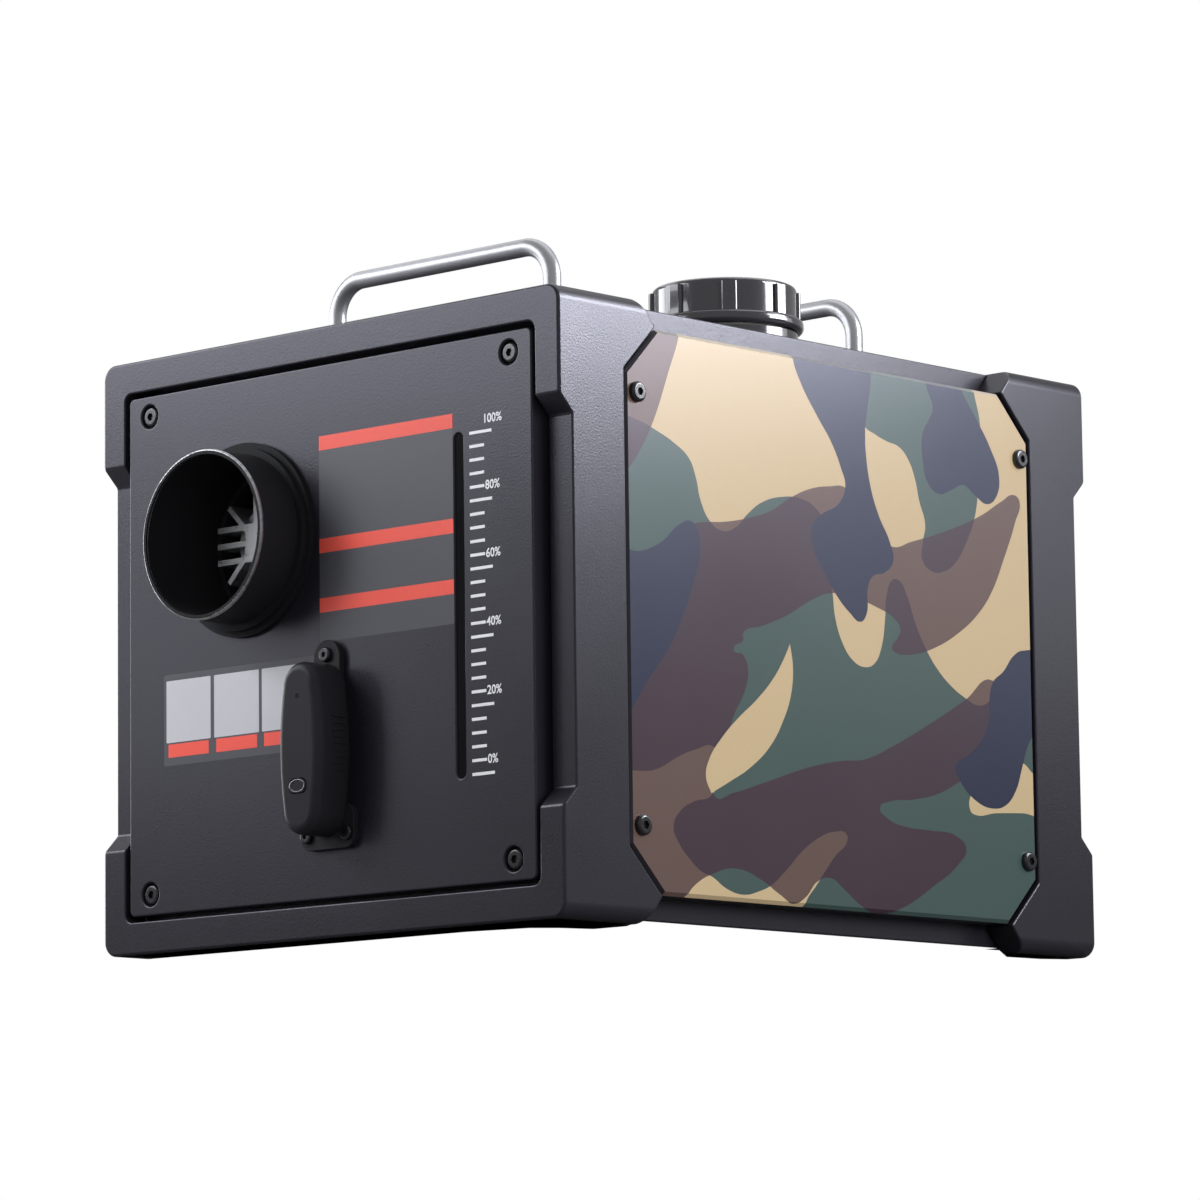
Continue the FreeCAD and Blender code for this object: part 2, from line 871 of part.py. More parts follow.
def make_casing():
    left = outlet_x - casing_half_width
    right = outlet_x + casing_half_width
    low = outlet_z - casing_half_height
    high = outlet_z + casing_half_height
    outer = rounded_box(left, right, casing_front, casing_back, low, high, Y_AXIS, casing_round)
    inner = rounded_box(left + casing_wall, right - casing_wall, casing_front - overrun,
                        casing_back + overrun, low + casing_wall, high - casing_wall, Y_AXIS,
                        casing_round - casing_wall)
    casing = outer.cut(inner)
    burner_y = exchanger_back + burner_plate / 2
    casing = casing.cut(rod(line_radius + fit_gap, V(left - overrun, burner_y, outlet_z),
                            V(outlet_x, burner_y, outlet_z)))
    for x, y, radius in port_places():
        casing = casing.cut(rod(radius, V(x, y, low - overrun), V(x, y, low + casing_wall + overrun)))
    return casing


def port_places():
    burner_y = exchanger_back + burner_plate / 2
    return [(foot_x, foot_y, pipe_radius + fit_gap), (spout_x, burner_y, pipe_radius + fit_gap)]


def split_casing(casing, upper):
    far = half_width + case_height
    z0 = outlet_z if upper else outlet_z - far
    return casing.common(box(-far, far, -far, far, z0, z0 + far))


def make_hood():
    flange_front = casing_front - hood_flange
    spigot = duct_inner - fit_gap
    neck_start = flange_front - hood_length
    flange = rounded_box(outlet_x - casing_half_width, outlet_x + casing_half_width, flange_front,
                         casing_front, casing_low, outlet_z + casing_half_height, Y_AXIS, casing_round)
    cone = Part.makeCone(hood_mouth_radius, spigot, hood_length, outlet_point(flange_front), -Y_AXIS)
    neck = rod(spigot, outlet_point(neck_start), outlet_point(neck_start - hood_spigot))
    outer = fused([flange, cone, neck])
    hollow = Part.makeCone(hood_mouth_radius - hood_wall, spigot - hood_wall, hood_length,
                           outlet_point(flange_front), -Y_AXIS)
    mouth = rod(hood_mouth_radius - hood_wall, outlet_point(flange_front - tolerance),
                outlet_point(casing_front + overrun))
    bore = rod(spigot - hood_wall, outlet_point(neck_start + tolerance),
               outlet_point(neck_start - hood_spigot - overrun))
    return outer.cut(fused([hollow, mouth, bore]))


def nose_fins():
    """Cast fins over the nose: three to each side, one up, one down and four between."""
    back = exchanger_front + overrun
    half = nose_fin_width / 2
    fins = []
    turns = [(0, n * nose_fin_pitch) for n in (-1, 0, 1)] + [(180, n * nose_fin_pitch) for n in (-1, 0, 1)]
    turns += [(angle, 0) for angle in (45, 90, 135, 225, 270, 315)]
    for angle, offset in turns:
        fin = box(outlet_x, outlet_x + nose_fin_reach, nose_front, back,
                  outlet_z + offset - half, outlet_z + offset + half)
        fin.rotate(outlet_point(0), Y_AXIS, angle)
        fins.append(fin)
    return fins


def make_exchanger():
    core = rod(exchanger_radius, outlet_point(exchanger_front), outlet_point(exchanger_back))
    nose = rod(nose_radius, outlet_point(nose_front + nose_hub_depth), outlet_point(exchanger_front))
    half = nose_hub / 2
    hub = rounded_box(outlet_x - half, outlet_x + half, nose_front, exchanger_front,
                      outlet_z - half, outlet_z + half, Y_AXIS, nose_hub_round)
    fins = []
    for n in range(fin_count):
        fin = box(outlet_x, outlet_x + fin_radius, fin_front, fin_back,
                  outlet_z - fin_thickness / 2, outlet_z + fin_thickness / 2)
        fin.rotate(outlet_point(0), Y_AXIS, 360 * n / fin_count)
        fins.append(fin)
    foot = box(foot_x - foot_half, foot_x + foot_half, foot_y - foot_half, foot_y + foot_half,
               casing_low + casing_wall, outlet_z)
    body = fused([core, nose, hub, foot] + nose_fins() + fins)
    bore = rod(exchanger_bore, outlet_point(exchanger_front + exchanger_floor),
               outlet_point(exchanger_back + overrun))
    port = rod(pipe_radius - pipe_wall, V(foot_x, foot_y, casing_low),
               V(foot_x, foot_y, outlet_z - fin_thickness))
    return body.cut(fused([bore, port]))


def make_chamber():
    return ring(chamber_radius, chamber_radius - chamber_wall, outlet_point(exchanger_back - chamber_length),
                outlet_point(exchanger_back))


def make_burner():
    plate_back = exchanger_back + burner_plate
    cup_end = plate_back + fan_cup_depth
    middle = exchanger_back + burner_plate / 2
    plate = rod(burner_radius, outlet_point(exchanger_back), outlet_point(plate_back))
    cup = rod(fan_cup_radius, outlet_point(plate_back), outlet_point(cup_end + fan_cup_lid))
    spout = rod(spout_radius, V(spout_x, middle, casing_low + casing_wall), V(spout_x, middle, outlet_z))
    room = rod(fan_cup_radius - fan_cup_wall, outlet_point(plate_back), outlet_point(cup_end))
    shaft_hole = rod(shaft_radius + moving_gap, outlet_point(plate_back), outlet_point(half_depth))
    way_in = rod(pipe_radius - pipe_wall, V(spout_x, middle, casing_low),
                 V(spout_x, middle, outlet_z - burner_plate))
    socket = rod(plug_radius + thread_gap, V(outlet_x, middle, outlet_z),
                 V(outlet_x, middle, outlet_z + burner_radius + overrun))
    spout = spout.cut(rod(exchanger_radius, outlet_point(0), outlet_point(exchanger_back)))
    body = fused([plate, cup, spout])
    return body.cut(fused([room, shaft_hole])).cut(way_in).cut(socket)


def make_glow_plug():
    middle = exchanger_back + burner_plate / 2
    seat = V(outlet_x, middle, outlet_z + burner_radius)
    return fused([rod(plug_radius, seat - Z_AXIS * plug_length, seat),
                  rod(plug_head_radius, seat, seat + Z_AXIS * plug_head_length)])


def make_motor():
    return ring(motor_radius, shaft_radius + running_gap, outlet_point(cup_back), outlet_point(motor_back))


def make_shaft():
    front = exchanger_back + burner_plate + shaft_front_gap
    return rod(shaft_radius, outlet_point(front), outlet_point(motor_back + shaft_overhang))


def make_impeller():
    front = exchanger_back + burner_plate + impeller_gap
    back = front + impeller_length
    parts = [rod(impeller_hub, outlet_point(front), outlet_point(back)),
             rod(impeller_radius, outlet_point(back - impeller_back), outlet_point(back))]
    for n in range(impeller_vanes):
        vane = box(outlet_x, outlet_x + impeller_radius, front, back,
                   outlet_z - vane_thickness / 2, outlet_z + vane_thickness / 2)
        vane.rotate(outlet_point(0), Y_AXIS, 360 * n / impeller_vanes)
        parts.append(vane)
    bore = rod(shaft_radius, outlet_point(front - overrun), outlet_point(back + overrun))
    return fused(parts).cut(bore)


def make_blower_wheel():
    front = motor_back + wheel_gap
    back = front + wheel_length
    middle = (front + back) / 2
    parts = [rod(wheel_hub, outlet_point(front), outlet_point(back))]
    for n in range(wheel_blades):
        blade = box(outlet_x, outlet_x + wheel_radius, front, back,
                    outlet_z - blade_thickness / 2, outlet_z + blade_thickness / 2)
        blade.rotate(outlet_point(middle), X_AXIS, blade_pitch_angle)
        blade.rotate(outlet_point(0), Y_AXIS, 360 * n / wheel_blades)
        parts.append(blade)
    limit = rod(wheel_radius, outlet_point(front), outlet_point(back))
    bore = rod(shaft_radius, outlet_point(front - overrun), outlet_point(back + overrun))
    return fused(parts).common(limit).cut(bore)


# Stand and pipes

def make_stand():
    left = outlet_x - casing_half_width
    right = outlet_x + casing_half_width
    under = stand_top - stand_thickness
    parts = [box(left, right, -stand_half_length, stand_half_length, under, stand_top)]
    for leg_x, foot_end in ((left, left + stand_foot), (right - stand_thickness, right - stand_foot)):
        parts.append(box(leg_x, leg_x + stand_thickness, -stand_half_length, stand_half_length,
                         floor_top, stand_top))
        low_x = min(leg_x, foot_end)
        parts.append(box(low_x, low_x + stand_foot, -stand_half_length, stand_half_length,
                         floor_top, floor_top + stand_thickness))
    stand = fused(parts)
    for x, y, radius in port_places():
        stand = stand.cut(rod(radius, V(x, y, under - overrun), V(x, y, stand_top + overrun)))
    return stand


def make_pipe(x, y):
    top = casing_low + casing_wall
    end = half_depth + stub_projection
    points = [V(x, y, top), V(x, y, pipe_height), V(x, end, pipe_height)]
    stub = rod(stub_radius, V(x, panel_front + bush_flange_thickness, pipe_height), V(x, end, pipe_height))
    pipe = fused([bent_rod(points, pipe_bend, pipe_radius), stub])
    return pipe.cut(bent_rod(points, pipe_bend, pipe_radius - pipe_wall))


def make_bush(x):
    inner = pipe_radius + thread_gap
    outer = pipe_radius + bush_wall - thread_gap
    sleeve = ring(outer, inner, V(x, panel_back, pipe_height), V(x, panel_front, pipe_height))
    flange = ring(outer + bush_flange, inner, V(x, panel_front, pipe_height),
                  V(x, panel_front + bush_flange_thickness, pipe_height))
    return fused([sleeve, flange])


# Rear grille, socket and control panel

def make_grille():
    face = panel_front + grille_plate
    rim = grille_hole_radius - thread_gap
    parts = [ring(grille_radius, rim - grille_ring_width, outlet_point(panel_front), outlet_point(face)),
             ring(rim, rim - grille_ring_width, outlet_point(panel_front - grille_lip), outlet_point(face)),
             rod(grille_hub, outlet_point(panel_front), outlet_point(face))]
    step = (rim - grille_hub) / grille_ring_count
    for n in range(1, grille_ring_count):
        outer = grille_hub + step * n
        parts.append(ring(outer, outer - grille_ring_width, outlet_point(panel_front), outlet_point(face)))
    for n in range(grille_spokes):
        spoke = box(outlet_x, outlet_x + rim, panel_front, face,
                    outlet_z - grille_ring_width / 2, outlet_z + grille_ring_width / 2)
        spoke.rotate(outlet_point(0), Y_AXIS, 360 * n / grille_spokes)
        parts.append(spoke)
    return fused(parts)


def socket_point(y):
    return V(socket_x, y, socket_z)


def make_power_socket():
    face = panel_front + socket_flange_thickness
    back = panel_front - socket_barrel_length
    floor = face - socket_bore_depth
    body = fused([rod(socket_flange, socket_point(panel_front), socket_point(face)),
                  rod(socket_barrel, socket_point(back), socket_point(face))])
    body = body.cut(rod(socket_bore, socket_point(floor), socket_point(face + overrun)))
    pins = [rod(pin_radius, V(socket_x + side * pin_offset, floor - tolerance, socket_z),
                V(socket_x + side * pin_offset, panel_front, socket_z)) for side in (-1, 1)]
    return fused([body] + pins)


def make_socket_nut():
    return ring(socket_nut_radius, socket_barrel + thread_gap, socket_point(panel_back - socket_nut_height),
                socket_point(panel_back))


def board_face():
    return panel_back - board_depth


def make_power_lead():
    start = panel_front - socket_barrel_length
    inner = board_face() - board_thickness - lead_run
    board_low = control_z - bezel_height / 2 + board_margin
    points = [socket_point(start), socket_point(inner), V(socket_x, inner, board_low + board_margin),
              V(socket_x, board_face() - board_thickness, board_low + board_margin)]
    return bent_rod(points, lead_bend, lead_radius)


def button_places():
    first = control_x - button_pitch * (len(button_names) - 1) / 2
    return [(first + button_pitch * n, control_z - button_drop) for n in range(len(button_names))]


def display_block(y0, y1, grow):
    half_x = display_width / 2 + grow
    half_z = display_height / 2 + grow
    z = control_z + display_rise
    return rounded_box(control_x - half_x, control_x + half_x, y0, y1, z - half_z, z + half_z,
                       Y_AXIS, display_round)


def make_bezel():
    face = panel_front + bezel_thickness
    bezel = rounded_box(control_x - bezel_width / 2, control_x + bezel_width / 2, panel_front, face,
                        control_z - bezel_height / 2, control_z + bezel_height / 2, Y_AXIS, bezel_round)
    bezel = bezel.makeFillet(bezel_edge_radius, edges_at_y(bezel, face))
    bezel = bezel.cut(display_block(panel_front - overrun, face + overrun, 0))
    for x, z in button_places():
        bezel = rear_hole(bezel, button_radius + moving_gap, x, z)
    return bezel


def make_lens():
    face = panel_front + bezel_thickness
    return display_block(face - lens_thickness - thread_gap, face - thread_gap, -thread_gap)


def make_board():
    face = board_face()
    half_x = bezel_width / 2 - board_margin / 2
    half_z = bezel_height / 2 - board_margin / 2
    board = box(control_x - half_x, control_x + half_x, face - board_thickness, face,
                control_z - half_z, control_z + half_z)
    lens_back = panel_front + bezel_thickness - lens_thickness - thread_gap
    parts = [board, display_block(face, lens_back, -module_gap)]
    for side in (-1, 1):
        for rise in (-1, 1):
            x = control_x + side * (half_x - board_post_radius)
            z = control_z + rise * (half_z - board_post_radius)
            parts.append(rod(board_post_radius, V(x, face, z), V(x, panel_back, z)))
    for x, z in button_places():
        parts.append(box(x - switch_half, x + switch_half, face, face + switch_height,
                         z - switch_half, z + switch_half))
    return fused(parts)


def make_control_button(x, z):
    face = panel_front + bezel_thickness + button_proud
    lip_face = panel_back - moving_gap
    stem_end = board_face() + switch_height + button_travel + moving_gap
    head = rod(button_radius, V(x, lip_face, z), V(x, face, z))
    head = head.makeFillet(button_round, edges_at_y(head, face))
    lip = rod(button_radius + button_lip, V(x, lip_face - button_lip_height, z), V(x, lip_face, z))
    stem = rod(button_stem_radius, V(x, stem_end, z), V(x, lip_face, z))
    return fused([head, lip, stem])


# Remote control and holder

def holder_screw_places():
    return [(holder_x, holder_top_screw), (holder_x - holder_foot_screw_x, holder_foot_screw_z),
            (holder_x + holder_foot_screw_x, holder_foot_screw_z)]


def make_holder():
    tab = rod(holder_top_half, V(holder_x, holder_front, holder_high - holder_top_half),
              V(holder_x, -panel_front, holder_high - holder_top_half))
    body = box(holder_x - holder_top_half, holder_x + holder_top_half, holder_front, -panel_front,
               holder_low, holder_high - holder_top_half)
    back = remote_outline(holder_front, -panel_front, remote_wall)
    foot = rounded_box(holder_x - holder_foot_half, holder_x + holder_foot_half, holder_front, -panel_front,
                       holder_low, holder_low + holder_foot_height, Y_AXIS, holder_foot_round)
    plate = fused([tab, body, back, foot])
    for x, z in holder_screw_places():
        plate = plate.cut(rod(holder_screw_radius + thread_gap, V(x, holder_front - overrun, z), V(x, 0, z)))
    return plate


def make_holder_screws():
    return Part.makeCompound([
        socket_screw(V(x, holder_front, z), -Y_AXIS, holder_screw_radius, holder_screw_length,
                     holder_head_radius, holder_head_height, holder_head_round,
                     holder_socket_radius, holder_socket_depth)
        for x, z in holder_screw_places()])


def remote_outline(y0, y1, inset):
    """Long oval with bowed sides and round ends, drawn in by inset, between two depths."""
    half = remote_width / 2 - inset
    neck = half - remote_side_bow
    low = remote_low + inset
    high = remote_high - inset
    right_x = holder_x + neck
    left_x = holder_x - neck
    low_z = low + remote_end_radius
    high_z = high - remote_end_radius
    right = Part.Arc(V(right_x, y0, low_z), V(holder_x + half, y0, remote_mid), V(right_x, y0, high_z))
    top = Part.Arc(V(right_x, y0, high_z), V(holder_x, y0, high), V(left_x, y0, high_z))
    left = Part.Arc(V(left_x, y0, high_z), V(holder_x - half, y0, remote_mid), V(left_x, y0, low_z))
    foot = Part.Arc(V(left_x, y0, low_z), V(holder_x, y0, low), V(right_x, y0, low_z))
    wire = Part.Wire([arc.toShape() for arc in (right, top, left, foot)])
    return Part.Face(wire).extrude(V(0, y1 - y0, 0))


def make_remote_base():
    base = remote_outline(remote_split, remote_back, 0)
    room = remote_outline(remote_split - overrun, remote_back - remote_wall, remote_wall)
    return base.cut(room)


def make_remote_cover():
    cover = remote_outline(remote_face, remote_split, 0)
    cover = cover.makeFillet(remote_round, edges_at_y(cover, remote_face))
    cover = cover.cut(remote_outline(remote_face + remote_wall, remote_split + overrun, remote_round))
    cover = cover.cut(button_block(remote_face - overrun, remote_split, moving_gap))
    return cover.cut(rod(remote_lamp_radius + thread_gap, V(holder_x, remote_face - overrun, remote_lamp_z),
                         V(holder_x, remote_split, remote_lamp_z)))


def button_block(y0, y1, grow):
    half_x = remote_button_width / 2 + grow
    half_z = remote_button_height / 2 + grow
    return rounded_box(holder_x - half_x, holder_x + half_x, y0, y1, remote_button_z - half_z,
                       remote_button_z + half_z, Y_AXIS, remote_button_height / 2 - tolerance)


def make_remote_button():
    lip_front = remote_face + remote_wall + moving_gap
    head = button_block(remote_face - remote_button_proud, lip_front, 0)
    lip = button_block(lip_front, lip_front + remote_button_lip, remote_button_lip)
    return fused([head, lip])


def make_remote_lamp():
    return fused([rod(remote_lamp_radius, V(holder_x, remote_face + thread_gap, remote_lamp_z),
                      V(holder_x, remote_split, remote_lamp_z)),
                  rod(remote_lamp_radius * 2, V(holder_x, remote_face + remote_wall, remote_lamp_z),
                      V(holder_x, remote_split, remote_lamp_z))])


def make_battery():
    return rod(battery_radius, V(holder_x, remote_back - remote_wall - battery_thickness, remote_mid),
               V(holder_x, remote_back - remote_wall, remote_mid))


def main():
    os.makedirs("parts", exist_ok=True)
    cap = make_cap()
    save("front_end_cap", cap)
    save("rear_end_cap", to_rear(cap))
    save("base_tray", make_tray())
    save("top_cover", make_top_cover())
    save("front_panel", make_front_panel())
    save("rear_panel", make_rear_panel())
    side_panel = make_side_panel()
    save("right_side_panel", side_panel)
    save("left_side_panel", to_left(side_panel))
    panel_screws = make_panel_screws()
    save("front_panel_screws", panel_screws)
    save("rear_panel_screws", to_rear(panel_screws))
    side_screws = make_side_screws()
    save("right_panel_screws", side_screws)
    save("left_panel_screws", to_left(side_screws))
    handle = make_handle()
    save("front_handle", handle)
    save("rear_handle", to_rear(handle))
    save("handle_nuts", make_handle_nuts())

    save("outlet_duct", make_outlet_duct())
    save("outlet_lock_ring", make_lock_ring())
    save("level_window", make_level_window())

    save("fuel_tank", make_tank())
    save("filler_ring", make_filler_ring())
    save("fuel_cap", make_fuel_cap())
    save("cap_seal", make_cap_seal())
    save("fuel_pickup", make_pickup())
    save("suction_line", make_suction_line())
    save("fuel_pump", make_pump())
    save("pump_clamp", make_pump_clamp())
    save("feed_line", make_feed_line())

    casing = make_casing()
    save("heater_lower_casing", split_casing(casing, False))
    save("heater_upper_casing", split_casing(casing, True))
    save("outlet_hood", make_hood())
    save("heat_exchanger", make_exchanger())
    save("combustion_chamber", make_chamber())
    save("burner_housing", make_burner())
    save("glow_plug", make_glow_plug())
    save("fan_motor", make_motor())
    save("motor_shaft", make_shaft())
    save("combustion_fan", make_impeller())
    save("blower_wheel", make_blower_wheel())
    save("heater_stand", make_stand())
    save("exhaust_pipe", make_pipe(foot_x, foot_y))
    save("intake_pipe", make_pipe(spout_x, exchanger_back + burner_plate / 2))
    save("pipe_grommets", Part.makeCompound([make_bush(foot_x), make_bush(spout_x)]))

    save("air_inlet_grille", make_grille())
    save("power_socket", make_power_socket())
    save("socket_nut", make_socket_nut())
    save("power_lead", make_power_lead())
    save("display_bezel", make_bezel())
    save("display_lens", make_lens())
    save("control_board", make_board())
    for name, (x, z) in zip(button_names, button_places()):
        save(name, make_control_button(x, z))

    save("remote_holder", make_holder())
    save("holder_screws", make_holder_screws())
    save("remote_base", make_remote_base())
    save("remote_cover", make_remote_cover())
    save("remote_button", make_remote_button())
    save("remote_lamp", make_remote_lamp())
    save("remote_battery", make_battery())


main()
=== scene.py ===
"""Looks of a portable parking heater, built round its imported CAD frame.

Metres, +Z up, the outlet faces -Y.
"""

import json
import math

import bmesh
import bpy
from bpy.props import FloatProperty, FloatVectorProperty, IntProperty, PointerProperty
from mathutils import Matrix, Vector
from mathutils.geometry import delaunay_2d_cdt


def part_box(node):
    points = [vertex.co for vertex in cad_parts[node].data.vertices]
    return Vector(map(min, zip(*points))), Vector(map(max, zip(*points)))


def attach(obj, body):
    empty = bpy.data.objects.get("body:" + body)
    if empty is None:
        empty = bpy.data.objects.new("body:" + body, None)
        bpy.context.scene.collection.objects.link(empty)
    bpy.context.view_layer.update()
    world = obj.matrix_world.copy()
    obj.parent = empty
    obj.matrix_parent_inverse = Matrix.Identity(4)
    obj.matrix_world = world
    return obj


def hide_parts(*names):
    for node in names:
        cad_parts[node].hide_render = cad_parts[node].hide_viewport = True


bl_info = {
    "name": "Parking heater looks",
    "version": (1, 0, 0),
    "blender": (4, 5, 0),
    "location": "View3D > Sidebar > Heater",
    "description": "Finishes, printed film, gauge, small mouldings and stage of a portable parking heater",
    "category": "Object",
}

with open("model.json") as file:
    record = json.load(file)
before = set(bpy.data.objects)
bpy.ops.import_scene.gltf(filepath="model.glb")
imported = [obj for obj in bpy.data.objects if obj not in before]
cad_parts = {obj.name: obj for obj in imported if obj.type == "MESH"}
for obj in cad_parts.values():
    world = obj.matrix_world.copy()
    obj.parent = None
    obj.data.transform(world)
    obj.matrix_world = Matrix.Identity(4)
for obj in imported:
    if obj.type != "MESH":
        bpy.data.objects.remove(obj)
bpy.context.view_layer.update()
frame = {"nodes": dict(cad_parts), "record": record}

MM = 0.001
WELD = 0.005 * MM
ROOT = "case"
SHARP = math.radians(28)
ROUNDED = math.radians(50)
FLAT = math.radians(0.3)
WHITE = (1, 1, 1)

# Camouflage sheet: outlines of its patches as (along, up) in millimetres, seen from the right.
# Along runs to the rear from the panel's middle, and up from the floor. The base ink is green.

TAN_FIELD = [
    (-145, 264), (20, 264), (20.5, 230), (28, 226.5), (36, 224.3), (45, 222.5), (51, 217.5), (55.5, 209),
    (58, 200), (62, 189), (60, 181), (59.5, 173), (66, 168.5), (74, 169), (83, 174), (91, 184),
    (97.5, 196), (101, 214), (103, 238), (101, 264), (146, 264), (146, 137), (128, 134), (113, 122),
    (104, 112), (96, 110.3), (89, 112.5), (79, 117), (69, 124), (61, 132.5), (54, 143), (48, 156),
    (43, 162), (38, 161.8), (34, 155), (32.5, 144), (30, 132), (25, 123.5), (18, 121), (9.5, 123.5),
    (2.5, 131), (-2, 142), (-3.5, 153), (-8, 168), (-9, 184), (-15, 189.5), (-24, 192), (-36, 191.5),
    (-50, 187.5), (-60, 181), (-67, 175), (-76, 172.3), (-84, 175.5), (-90, 184), (-93, 194),
    (-97, 201.5), (-107, 207.5), (-121, 212.5), (-145, 222),
]
TAN_SKIRT = [
    (-146, 59), (-120, 66), (-106, 72.5), (-95, 76.2), (-84, 78), (-79, 70), (-86, 57), (-97, 53.7),
    (-106, 49), (-110.5, 42), (-107, 35), (-100, 28.5), (-93, 24), (-86, 22), (-77, 17.5), (-66, 15.5),
    (-55, 17.8), (-48, 20.5), (-38, 27.5), (-27, 36.5), (-16, 43), (-5, 46.5), (3.5, 45.5), (3, 42),
    (-4, 36.5), (-11, 29.5), (-18, 22), (-24, 16), (-30, 6), (-146, 6),
]
TAN_WEDGE = [
    (128.5, 86.3), (136, 82), (147, 78), (147, 64.3), (128, 63.3), (108, 62), (93, 60.4), (90, 62),
    (90, 68), (104, 78), (118, 84),
]
TAN_LEAF = [
    (-86, 58), (-89.3, 65), (-87, 72.5), (-79, 82), (-68, 91.5), (-55, 101), (-44, 111), (-37, 120),
    (-32.7, 127), (-31, 117), (-32.5, 105), (-38, 93), (-47, 81), (-60, 71), (-74, 63.7),
]
MAROON_FIELD = [
    (-147, 140), (-118, 156), (-100, 171.5), (-92, 174.3), (-75, 176.4), (-58, 180), (-44, 184.5),
    (-32, 191), (-18, 196.8), (-4, 199.6), (7, 200), (20, 188), (38, 177), (52, 180.5), (80, 189),
    (103, 198), (117, 205.5), (127, 209.6), (130.6, 207), (127, 197), (118, 179), (109, 163.5),
    (99, 152.5), (84, 142), (66, 133.5), (50, 129.3), (40, 129.2), (37, 131), (41, 136), (43, 140),
    (39, 144.5), (28, 148.3), (14, 151), (-4, 152), (-18, 147.5), (-34, 139.5), (-50, 133.5),
    (-64, 128.5), (-63.5, 126.3), (-70, 121.3), (-64, 119.5), (-60.7, 113), (-63, 104), (-70, 93.5),
    (-80, 72), (-84, 57), (-72, 59), (-50, 65.3), (-22, 73.5), (0, 78), (17, 80), (38, 88), (62, 99),
    (88, 112), (108, 122.5), (118, 108), (100, 84), (80, 73.3), (68, 68.3), (50, 64.3), (33, 62.2),
    (26.5, 59), (31, 55), (44, 51.8), (62, 51.2), (79, 50), (86.5, 44.7), (81, 37.5), (62, 26), (42, 16),
    (28, 12.3), (14, 14.3), (1, 21.5), (-8, 26), (-17, 24), (-25, 16.8), (-33, 13.4), (-42, 16.8),
    (-54, 22.5), (-70, 26.5), (-84, 24), (-98, 17.5), (-110, 6), (-147, 6),
]
MAROON_CORNER = [
    (-147, 184), (-137, 192), (-129, 201), (-120, 215), (-110, 237), (-102, 257), (-101, 266),
    (-147, 266),
]
NAVY_TONGUE = [
    (-28, 266), (-27.5, 254), (-22, 243), (-12, 230.5), (-2, 219), (4, 208.5), (6.7, 201), (2, 192.5),
    (-10, 186.3), (-17, 179.5), (-16, 171), (-9, 161), (0, 150.7), (8, 144.5), (15.5, 141), (19.8, 145),
    (21, 157), (24.5, 162.2), (33, 164.8), (39, 170.5), (37, 178.5), (29.5, 190), (24, 203), (21, 221),
    (20.5, 266),
]
NAVY_BLOT = [
    (61, 266), (65, 252), (69, 243), (66, 237.5), (61.5, 231), (61, 219), (64.5, 208.5), (72, 204.3),
    (81, 207), (90, 210.3), (98, 206.5), (107, 203.3), (114, 208), (116, 217), (110, 229.5), (101, 241),
    (90, 254), (84, 266),
]
NAVY_SHOULDER = [
    (-147, 156), (-128, 158.5), (-115, 164), (-104, 172.3), (-96, 174.4), (-91.3, 169), (-91, 161),
    (-95, 149), (-102, 134), (-112, 118), (-125, 104), (-135, 91), (-147, 78),
]
NAVY_HOOK = [
    (147, 135.5), (130, 138), (123.5, 135), (116, 127.3), (108, 121.5), (105.3, 113), (104.5, 104),
    (99.5, 95), (90, 87.3), (80, 81), (83, 75), (94, 66.8), (106, 64), (116, 66.3), (123, 73),
    (128.5, 85), (133, 95), (147, 110),
]

TAN_PATCHES = (TAN_FIELD, TAN_SKIRT, TAN_WEDGE)
MAROON_PATCHES = (MAROON_FIELD, MAROON_CORNER)
NAVY_PATCHES = (NAVY_TONGUE, NAVY_BLOT, NAVY_SHOULDER, NAVY_HOOK)
LEAF_TIPS = (0, 8)


# Settings

def colour_setting(name, description, default):
    return FloatVectorProperty(name=name, description=description, default=default, size=3, subtype="COLOR",
                               min=0.0, max=1.0)


def length_setting(name, description, default):
    return FloatProperty(name=name, description=description, default=default, unit="LENGTH")


def share_setting(name, description, default):
    return FloatProperty(name=name, description=description, default=default, min=0.0, max=1.0,
                         subtype="FACTOR")


def angle_setting(name, description, degrees):
    return FloatProperty(name=name, description=description, default=math.radians(degrees), subtype="ANGLE")


class HeaterFinishes(bpy.types.PropertyGroup):
    """Colours of the heater's own finishes, as linear light."""
    plastic: colour_setting("Case plastic", "Moulded caps and panels", (0.0165, 0.015, 0.0196))
    paint: colour_setting("Case paint", "Powder coat of the deck and tray", (0.0165, 0.015, 0.0196))
    sheen: colour_setting("Case sheen", "Cool cast of the sheen on caps, panels and film", (0.87, 0.865, 1.0))
    duct: colour_setting("Duct", "Heat-proof outlet plastic", (0.016, 0.016, 0.0175))
    gloss: colour_setting("Gloss black", "Fuel cap, socket and bezel", (0.03, 0.029, 0.034))
    steel: colour_setting("Handle steel", "Satin handles", (0.38, 0.38, 0.392))
    remote: colour_setting("Remote", "Soft-touch plastic of the remote", (0.02, 0.0194, 0.0225))
    grain: length_setting("Grain", "Size of the moulded grain", 0.85 * MM)
    edge: length_setting("Edge round", "Round of the mouldings' edges", 0.9 * MM)


